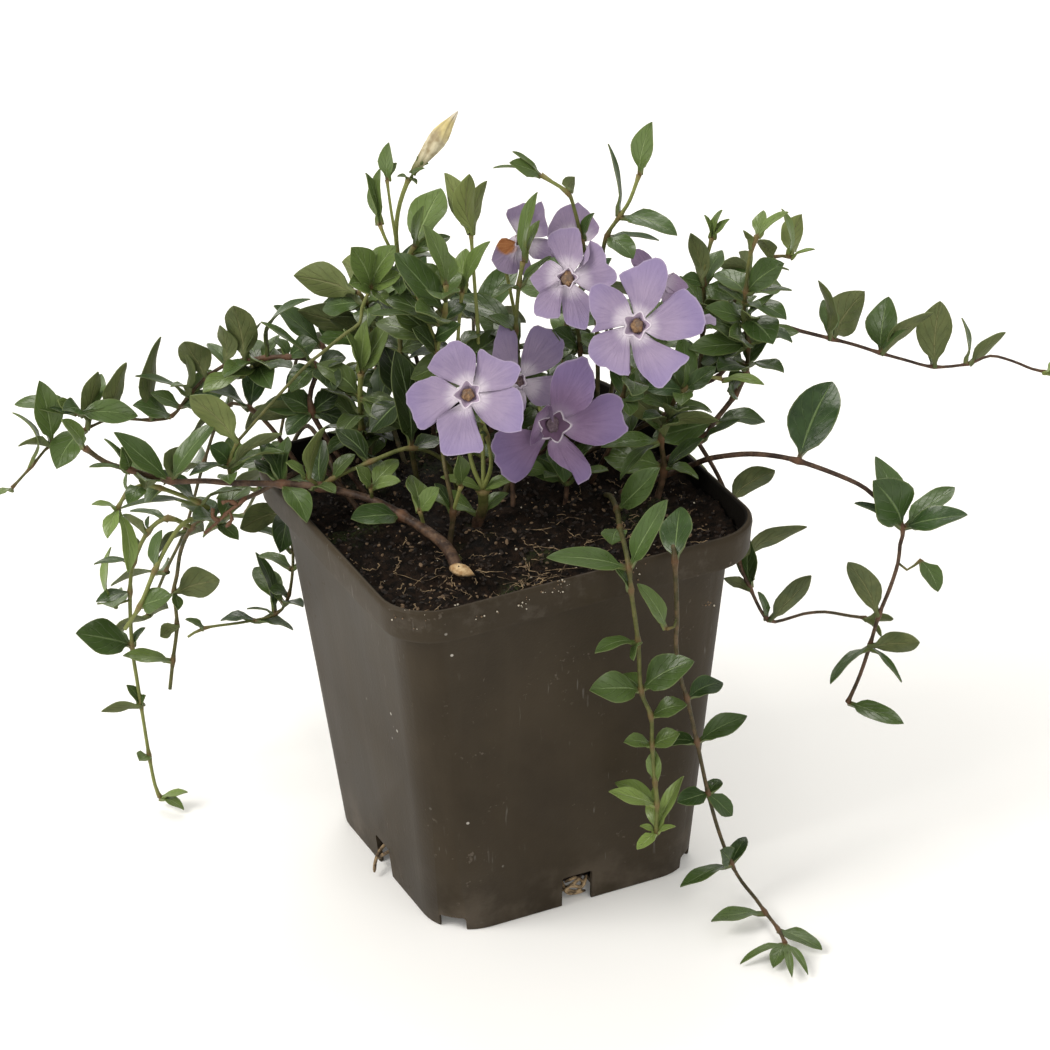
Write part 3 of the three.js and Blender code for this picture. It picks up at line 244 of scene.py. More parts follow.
body_tone = (foot_dust * 0.35).mix(body_tone, (0.16, 0.13, 0.1))
body_tone = (scratch * 0.4).mix(body_tone, (0.17, 0.16, 0.145))
body_tone = (dust * 0.35).mix(body_tone, (0.2, 0.17, 0.14))
body_tone = (speck * 0.8).mix(body_tone, (0.5, 0.47, 0.42))
# Painted shade: the wall's inner faces, which turn toward the pot's axis, go almost black
facing = shade.node("NewGeometry", None, None, "Normal")
level = spot.node("VectorMath", {"operation": "MULTIPLY"}, {0: spot, 1: (1, 1, 0)})
inner_wall_shade = level.node("VectorMath", {"operation": "DOT_PRODUCT"}, {0: level, 1: facing}, "Value")
body_tone = inner_wall_shade.step(-0.01, -0.02).mix(body_tone, (0.006, 0.005, 0.004))
lay_finish(pot_plastic, body_tone, 0.42 + flow * 0.12 + dust * 0.3 + cloud * 0.1,
           flow * 0.6 + spot.grain(1500, 2) * 0.3 + dust * 0.6, 0.00012,
           fixed={"Specular IOR Level": 0.12})

bm = bmesh.new()
# From the floor's underside round the foot, up the outside, over the lip and down the inside
pot_sections = [
    wall_at(FLOOR_UNDER, WALL),
    wall_at(FOOT_EASE + 0.1, WALL),
    wall_at(0, WALL - 0.25),
    wall_at(0, 0.3),
    wall_at(FOOT_EASE, 0),
    wall_at(WALL_SINK_HEIGHT, WALL_SINK),
    wall_at(BAND_FOOT - 0.6, 0),
    (wall_at(BAND_FOOT, 0)[0] + 0.3, RIM_CORNER, BAND_FOOT - 0.1),
    (RIM_HALF - 0.8, RIM_CORNER, BAND_FOOT + 0.45),
    (RIM_HALF - 0.5, RIM_CORNER, BAND_FOOT + 1.2),
    (RIM_HALF - 0.15, RIM_CORNER, POT_HEIGHT - 2.2),
    (RIM_HALF, RIM_CORNER, POT_HEIGHT - 1.3),
    (RIM_HALF - 0.08, RIM_CORNER, POT_HEIGHT - 0.5),
    (RIM_HALF - 0.45, RIM_CORNER - 0.2, POT_HEIGHT - 0.05),
    (RIM_HALF - 0.95, RIM_CORNER - 0.6, POT_HEIGHT),
    (RIM_HALF - 1.35, RIM_CORNER - 0.9, POT_HEIGHT - 0.3),
    (RIM_HALF - WALL - 0.5, RIM_CORNER - WALL, POT_HEIGHT - 1.4),
    (RIM_HALF - WALL - 0.8, RIM_CORNER - WALL, BAND_FOOT + 2.6),
    wall_at(BAND_FOOT + 1.2, WALL),
    wall_at(FLOOR_TOP, WALL),
]
ring = list(rounded_square(bm, pot_sections[0]).edges)
for old, new in zip(pot_sections, pot_sections[1:]):
    ring, corners = next_ring(bm, ring)
    reshape(corners, old, new)
close_last(bm, ring)
pot = piece_of(bm, "nursery_pot", [pot_plastic], ["pot"], POT_SMOOTH_ANGLE)

# The drain openings and notches are cut out with round-edged blocks
bm = bmesh.new()
corner_reach = (BASE_HALF - BASE_CORNER) * math.sqrt(2) + BASE_CORNER
for quarter in range(4):
    turn = quarter * math.pi / 2
    for angle, reach, (width, tall), depth in (
            (turn, BASE_HALF, DRAIN, DRAIN_DEPTH),
            (turn + math.pi / 4, corner_reach, NOTCH, NOTCH_DEPTH)):
        block = bmesh.ops.create_cube(bm, size=1)["verts"]
        bmesh.ops.scale(bm, vec=(depth, width, 2 * tall), verts=block)
        block_edges = list({edge for vert in block for edge in vert.link_edges
                            if abs(edge.verts[0].co.x - edge.verts[1].co.x) > 1
                            and edge.verts[0].co.z > 0})
        made = bmesh.ops.bevel(
            bm, geom=block_edges, offset=OPENING_EASE, offset_type="OFFSET", segments=3,
            profile=0.5, affect="EDGES", material=-1)
        block = list({vert for vert in block + made["verts"] if vert.is_valid})
        bmesh.ops.translate(bm, vec=(reach, 0, 0), verts=block)
        bmesh.ops.rotate(bm, matrix=Matrix.Rotation(angle, 3, "Z"), verts=block)
bmesh.ops.scale(bm, vec=(MM, MM, MM), verts=bm.verts)
cutter_mesh = bpy.data.meshes.new("cutter")
bm.to_mesh(cutter_mesh)
bm.free()
cutter = bpy.data.objects.new("cutter", cutter_mesh)
bpy.context.scene.collection.objects.link(cutter)
openings = pot.modifiers.new("openings", "BOOLEAN")
openings.object = cutter
openings.solver = "EXACT"
bpy.context.view_layer.update()
cut_pot = pot.evaluated_get(bpy.context.evaluated_depsgraph_get())
bm = bmesh.new()
bm.from_mesh(cut_pot.to_mesh())
pot.modifiers.clear()
bpy.data.objects.remove(cutter)
# A round foot under the floor's middle, let into the floor a little
foot_height = FLOOR_UNDER + 0.4
foot = bmesh.ops.create_cone(
    bm, cap_ends=True, segments=48, radius1=(FOOT_RADIUS - FOOT_TAPER) * MM,
    radius2=FOOT_RADIUS * MM, depth=foot_height * MM)["verts"]
bmesh.ops.translate(bm, vec=(0, 0, foot_height / 2 * MM), verts=foot)
bm.to_mesh(pot.data)
bm.free()
smooth_shading(pot.data, POT_SMOOTH_ANGLE)


# Soil: the root ball, damp peat with bark crumbs, fine pale roots and white perlite grains, a
# little moss by the stems. It fills the pot to just under the rim, banked a little along it.
SOIL_LEVEL = 86
FIT = WALL + 0.3
SOIL_CELLS = 96
BANK_START = 37
BANK_RISE = 0.12
MOUND = 0.7
CLOD = 0.9
SOIL_CRUMB = 0.35
WALL_FOOT_GAP = 1.2

peat, shade = new_finish("peat")
spot = shade.place()
clods = spot.grain(420, 5, 0.7)
fine = spot.grain(1600, 4, 0.7)
damp = spot.grain(60, 3)
peat_tone = clods.step(0.38, 0.66).mix((0.0028, 0.002, 0.0014), (0.018, 0.0105, 0.0065))
peat_tone = (fine.step(0.6, 0.72) * 0.5).mix(peat_tone, (0.055, 0.036, 0.021))
chips = spot.node("TexVoronoi", None, {"Vector": spot, "Scale": 520.0}, "Distance").step(0.2, 0.13)
peat_tone = (chips * fine.step(0.54, 0.6) * 0.85).mix(peat_tone, (0.36, 0.24, 0.13))
moss = spot.node("Mapping", None, {"Vector": spot, "Location": (0.012, -0.002, 0)}).grain(52, 2)
moss = moss.step(0.56, 0.66) * fine.step(0.4, 0.6)
peat_tone = (moss * 0.55).mix(peat_tone, (0.045, 0.07, 0.022))
lay_finish(peat, peat_tone, 0.95 - damp.step(0.5, 0.7) * 0.35, clods + fine * 0.6, 0.0006,
           fixed={"Specular IOR Level": 0.12})

bm = bmesh.new()
bmesh.ops.create_grid(bm, x_segments=SOIL_CELLS, y_segments=SOIL_CELLS, size=1)
soil_half, soil_corner = RIM_HALF - WALL - 0.9, RIM_CORNER - WALL
# The share by which the square grid's corners are drawn in, to be as round as the pot's
cut_back = 1 - ((soil_half - soil_corner) * math.sqrt(2) + soil_corner) / (soil_half * math.sqrt(2))


def out_on_soil(x, y):
    """How far out a place is, measured in rounded squares like the pot's."""
    return (x ** 8 + y ** 8) ** 0.125


def soil_height(x, y):
    """Height of the soil at a place: low mounds, clods, and a bank along the pot's wall."""
    mound = math.sin(x * 0.31 + 1) * math.cos(y * 0.27) + 0.7 * math.sin(x * 0.13 - y * 0.17)
    clod = noise.fractal(Vector((x, y, 3)) * 0.28, 0.7, 2.1, 5)
    crumb = noise.noise(Vector((x, y, 9)) * 1.4)
    bank = BANK_RISE * max(0, out_on_soil(x, y) - BANK_START) ** 1.5
    return SOIL_LEVEL + MOUND * mound + CLOD * clod + SOIL_CRUMB * crumb + bank


for vert in bm.verts:
    x, y = vert.co.xy
    keep = 1 - cut_back * (x * x * y * y) ** 3
    x *= keep * soil_half
    y *= keep * soil_half
    vert.co = (x, y, soil_height(x, y))
edges = [edge for edge in bm.edges if edge.is_boundary]
sides_down = (SOIL_LEVEL - 3, 60, 30, FLOOR_TOP + DRAIN[1], FLOOR_TOP + 0.3)
half_before = soil_half
for z in sides_down:
    edges, ring = next_ring(bm, edges)
    gap = FIT if z > FLOOR_TOP + DRAIN[1] else FIT + WALL_FOOT_GAP
    half = wall_at(z, gap)[0]
    bmesh.ops.scale(bm, vec=(half / half_before, half / half_before, 1), verts=ring)
    for vert in ring:
        vert.co.z = z
    half_before = half
close_last(bm, edges)
if bm.calc_volume(signed=True) < 0:
    bmesh.ops.reverse_faces(bm, faces=bm.faces)
piece_of(bm, "peat_root_ball", [peat], ["root_ball"])


# Crumbs on the soil: bark chips, lumps of peat and white perlite, each a few-sided lump sunk in
# the surface, with fine pale roots that wander over it between the stems.
CRUMBS = 2100
BRIM_CRUMBS = 300
CRUMB_FACES = 1
CRUMB_SIZE = (0.16, 0.5)
PALE_SIZE = (0.12, 0.32)
PALE_GRADE = 0.9
SOIL_REACH = 41.6
BRIM_SPREAD = 1.1
CRUMB_SEED = 11

crumb_bark, shade = new_finish("crumb_bark")
spot = shade.place()
kind = shade.mark("kind")
bark_tone = spot.grain(900, 3).step(0.35, 0.7).mix((0.005, 0.0034, 0.0026), (0.03, 0.017, 0.0095))
bark_tone = kind.step(0.74, 0.82).mix(bark_tone, (0.16, 0.105, 0.06))
bark_tone = kind.step(0.945, 0.95).mix(bark_tone, (0.5, 0.45, 0.36))
lay_finish(crumb_bark, bark_tone, 0.85 + spot.grain(700) * 0.15, spot.grain(2400), 0.0003)

root_fibre, shade = new_finish("root_fibre")
spot = shade.place()
fibre_tone = spot.grain(500, 3).step(0.35, 0.65).mix((0.04, 0.023, 0.012), (0.38, 0.27, 0.15))
lay_finish(root_fibre, fibre_tone, 0.75 + spot.grain(900) * 0.2, spot.grain(2600), 0.0002)

draw = random.Random(CRUMB_SEED)


def placing(point, axes):
    """The matrix that sets a form at a point, with its x, y and z along three axes."""
    return Matrix.Translation(point) @ Matrix(axes).transposed().to_4x4()


def tube(bm, course, sides, marks=()):
    """Sweeps a round section along (point, radius) pairs; marks are (name, one number a pair)."""
    rod = bmesh.new()
    layers = [(rod.verts.layers.float.new(name), numbers) for name, numbers in marks]
    made = bmesh.ops.create_circle(rod, cap_ends=True, segments=sides, radius=1)["verts"]
    edges = rod.edges[:]
    placed = Matrix.Identity(4)
    side = None
    for i, (point, radius) in enumerate(course):
        if i:
            edges, made = next_ring(rod, edges)
        ahead = course[min(i + 1, len(course) - 1)][0] - course[max(i - 1, 0)][0]
        along = ahead.normalized()
        side = along.orthogonal() if side is None else side
        side = (side - along * side.dot(along)).normalized()
        place = placing(point, (side, along.cross(side), along))
        place = place @ Matrix.Diagonal((radius, radius, radius, 1))
        bmesh.ops.transform(rod, matrix=place @ placed.inverted(), verts=made)
        placed = place
        for layer, numbers in layers:
            for vert in made:
                vert[layer] = numbers[i]
    close_last(rod, edges)
    add_to(bm, rod)


def add_to(bm, part):
    """Adds a part's mesh to the piece's mesh, and lets go of the part."""
    carried = bpy.data.meshes.new("carried")
    part.to_mesh(carried)
    part.free()
    bm.from_mesh(carried)
    bpy.data.meshes.remove(carried)


def on_soil(x, y):
    """A point on the soil's surface."""
    return Vector((x, y, soil_height(x, y)))


bm = bmesh.new()
kind_layer = bm.verts.layers.float.new("kind")
for number in range(CRUMBS + BRIM_CRUMBS):
    x, y = draw.uniform(-SOIL_REACH, SOIL_REACH), draw.uniform(-SOIL_REACH, SOIL_REACH)
    grade = draw.random()
    if number >= CRUMBS:
        y = abs(draw.gauss(0, BRIM_SPREAD)) - SOIL_REACH
        grade = 0.6 + 0.4 * grade
    if out_on_soil(x, y) > SOIL_REACH:
        continue
    size = draw.uniform(*(CRUMB_SIZE if grade < PALE_GRADE else PALE_SIZE))
    lump = bmesh.new()
    lump_kind = lump.verts.layers.float.new("kind")
    bmesh.ops.create_icosphere(lump, subdivisions=CRUMB_FACES, radius=size)
    long_way = draw.uniform(1, 2.4) if grade < PALE_GRADE else 1.1
    for vert in lump.verts:
        vert.co = Vector((vert.co.x * long_way, vert.co.y * draw.uniform(0.7, 1.2),
                          vert.co.z * draw.uniform(0.6, 0.9)))
        vert[lump_kind] = grade
    turn = Matrix.Rotation(draw.uniform(0, math.tau), 4, "Z")
    tilt = Matrix.Rotation(draw.uniform(-0.5, 0.5), 4, "Y")
    place = Matrix.Translation(on_soil(x, y) + Vector((0, 0, size * 0.25))) @ turn @ tilt
    bmesh.ops.transform(lump, matrix=place, verts=lump.verts)
    add_to(bm, lump)
piece_of(bm, "soil_crumbs", [crumb_bark], [], 30)

# Roots seen one by one on the soil, in mm from the pot's axis, and finer ones at seeded places,
# most of them toward the front
ROOT_THREADS = [
    ((1, -11), (6, -12.5), (11, -11), (14, -13)), ((3, -21), (0, -25), (5, -29), (10, -28)),
    ((-1, -18), (2, -23), (4, -25)), ((-3, -28), (1, -30), (7, -31.5)),
    ((-20, -21), (-16, -25), (-12, -26)), ((-33, -14), (-29, -20), (-24, -22)),
    ((9, -17), (12, -21), (15, -22)), ((-9, -29), (-4, -32), (0, -33)),
    ((17, -19), (21, -22), (24, -20)), ((-14, -30), (-9, -33), (-6, -32)),
]
FINE_THREADS = 120
THREAD_PLACES = 39
THREAD_SPREAD = 17
THREAD_STRIDE = 1.4
THREAD_TURN = 1.2
THREAD_RADIUS = (0.04, 0.12)
THREAD_WANDER = 0.35

bm = bmesh.new()
threads = [[on_soil(x, y) + Vector((0, 0, 0.25)) for x, y in thread] for thread in ROOT_THREADS]
for _ in range(FINE_THREADS):
    x = draw.uniform(-THREAD_PLACES, THREAD_PLACES)
    y = abs(draw.gauss(0, THREAD_SPREAD)) - THREAD_PLACES
    heading = draw.uniform(0, math.tau)
    thread = []
    for _ in range(draw.randint(3, 5)):
        x += THREAD_STRIDE * math.cos(heading)
        y += THREAD_STRIDE * math.sin(heading)
        heading += draw.uniform(-THREAD_TURN, THREAD_TURN)
        if out_on_soil(x, y) < SOIL_REACH:
            thread.append(on_soil(x, y) + Vector((0, 0, draw.uniform(0, 0.5))))
    if len(thread) > 2:
        threads.append(thread)
for thread in threads:
    radius = draw.uniform(*THREAD_RADIUS)
    course = []
    for here, after in zip(thread, thread[1:]):
        for step in range(3):
            wander = Vector((draw.uniform(-THREAD_WANDER, THREAD_WANDER),
                             draw.uniform(-THREAD_WANDER, THREAD_WANDER), draw.uniform(-0.1, 0.4)))
            course.append((here.lerp(after, step / 3) + wander, radius))
    course.append((thread[-1], radius * 0.5))
    tube(bm, course, 5)
# The roots that hang out of the left drain opening and curl in the front one
DRAIN_ROOT_RADII = (0.45, 0.25)
drain_roots = [
    [(-26, 3, 8), (-31, 2.5, 6.5), (-34.5, 1.5, 4.2), (-36, 0, 2.6), (-36.9, -1.8, 1.6)],
    [(-30, -2, 7), (-33, -1, 5.4), (-34, 1.5, 3.2), (-33.6, 3, 1.6)],
    [(-3, -29, 7), (-2, -31.5, 3), (1, -32.2, 2), (2.6, -31.6, 4), (1, -31, 5.6), (-2, -31.2, 5)],
    [(4, -29, 6), (1, -32, 5), (-2.6, -31.8, 3.4), (-1, -31.4, 1.6), (3, -31.5, 1.4)],
    [(-3.4, -30, 2), (-1, -32.1, 4.4), (2, -32.4, 3), (3.4, -31.5, 5.6)],
]
for root in drain_roots:
    corners = [Vector(corner) for corner in root]
    course = []
    for here, after in zip(corners, corners[1:]):
        for step in range(3):
            course.append((here.lerp(after, step / 3), DRAIN_ROOT_RADII[0]))
    course.append((corners[-1], DRAIN_ROOT_RADII[1]))
    smooth = [course[0]] + [
        ((before[0] + here[0] * 2 + after[0]) / 4, here[1])
        for before, here, after in zip(course, course[1:], course[2:])] + [course[-1]]
    tube(bm, smooth, 6)
piece_of(bm, "root_threads", [root_fibre], [])


# Foliage: wiry stems with leaves in pairs, olive to dark brown and greener towards each tip. The
# leaves are leathery, ovate and glossy, folded along a pale midrib, on short petioles. A spray
# grows from one place on the soil and its parts are one piece.

# Stems, leaves and petals are placed along lines of sight, so the eye's place comes first: its
# angles, its distance in mm, the picture's scale and middle in picture points, the place on the
# pot's axis that the eye's angles aim at, and how far right and up the eye is moved from there
EYE_AZIMUTH = math.radians(-24.35)
EYE_ELEVATION = math.radians(28.66)
EYE_ROLL = math.radians(-2.05)
EYE_DISTANCE = 1063
PICTURE_SCALE = 4621
PICTURE_MIDDLE = (528.5, 525.1)
BACK = Vector((math.sin(EYE_AZIMUTH) * math.cos(EYE_ELEVATION),
               -math.cos(EYE_AZIMUTH) * math.cos(EYE_ELEVATION), math.sin(EYE_ELEVATION)))
LEVEL_RIGHT = Vector((math.cos(EYE_AZIMUTH), math.sin(EYE_AZIMUTH), 0))
LEVEL_UP = BACK.cross(LEVEL_RIGHT)
RIGHT = LEVEL_RIGHT * math.cos(EYE_ROLL) + LEVEL_UP * math.sin(EYE_ROLL)
UP = LEVEL_UP * math.cos(EYE_ROLL) - LEVEL_RIGHT * math.sin(EYE_ROLL)
TOWARD = Vector((math.sin(EYE_AZIMUTH), -math.cos(EYE_AZIMUTH), 0))
EYE_AIM = Vector((0, 0, 50))
EYE_SHIFT = (4.65, 28.75)
EYE = EYE_AIM + RIGHT * EYE_SHIFT[0] + UP * EYE_SHIFT[1] + BACK * EYE_DISTANCE
LYING_TIP = 1.4
LYING_SLACK = 0.001


def sight_line(x, y):
    """The direction in which the eye sees a picture point."""
    line = (RIGHT * ((x - PICTURE_MIDDLE[0]) / PICTURE_SCALE)
            + UP * ((PICTURE_MIDDLE[1] - y) / PICTURE_SCALE) - BACK)
    return line.normalized()


def seen(x, y, toward):
    """The point seen at a picture point, `toward` mm in front of the pot's axis."""
    line = sight_line(x, y)
    return EYE + line * ((toward - EYE.dot(TOWARD)) / line.dot(TOWARD))


def lying(x, y, height):
    """The point seen at a picture point at a given height."""
    line = sight_line(x, y)
    return EYE + line * ((height - EYE.z) / line.z)


def seen_at_reach(x, y, start, reach):
    """The point seen at x, y and `reach` mm from start; a negative reach leans away."""
    line = sight_line(x, y)
    offset = start - EYE
    along = offset.dot(line)
    spare = math.sqrt(max(0, reach * reach - offset.length_squared + along * along))
    point = EYE + line * (along - math.copysign(spare, reach))
    return lying(x, y, LYING_TIP) if point.z < LYING_TIP else point


def soil(x, y):
    """A place where a stem comes out of the soil."""
    return Vector((x, y, SOIL_LEVEL))


def above(x, y, z):
    """A place that the photograph doesn't show, in mm from the pot's foot."""
    return Vector((x, y, z))


# Blooms stand where the sprays' stalks end: picture point of the throat and mm before the axis,
# facing (right, up, toward the eye), the face's reach in mm, and how violet the petals are
BLOOMS = {
    "bloom_front": ((467, 393, 16), (-0.12, 0.1, 1), 13.6, 0.25),
    "bloom_right": ((636, 325, 13), (-0.16, 0.1, 1), 14.2, 0.3),
    "bloom_upper": ((567, 278, -1), (0.02, 0.22, 1), 11.8, 0.35),
    "bloom_lower": ((552, 428, 10), (0.22, -0.36, 0.9), 15.2, 1.0),
    "bloom_inner": ((520, 381, -2.5), (0.25, 0.02, 1), 13, 0.3),
    "bloom_side": ((519, 240, -14), (0.3, 0.1, 0.94), 10.5, 0.4),
    "bloom_top": ((576, 243, -21), (0.12, 0.1, 0.98), 10.8, 0.4),
    "bloom_hidden": ((657, 280, -12.5), (0.1, 0.2, 0.95), 11, 0.8),
}
TUBE_LENGTH = 9
STALK_NECK = 4
STALK_GAP = 0.3


def bloom_axes(name):
    """A bloom's throat, its facing, and the two directions across its face."""
    at, (right, up, toward), *_ = BLOOMS[name]
    normal = (RIGHT * right + UP * up + BACK * toward).normalized()
    first = (RIGHT - normal * RIGHT.dot(normal)).normalized()
    return seen(*at), normal, first, normal.cross(first)


def behind_bloom(name):
    """A stalk's end under a bloom's tube, and the direction in which the bloom faces."""
    throat, normal, _, _ = bloom_axes(name)
    return throat - normal * (TUBE_LENGTH + STALK_GAP), normal


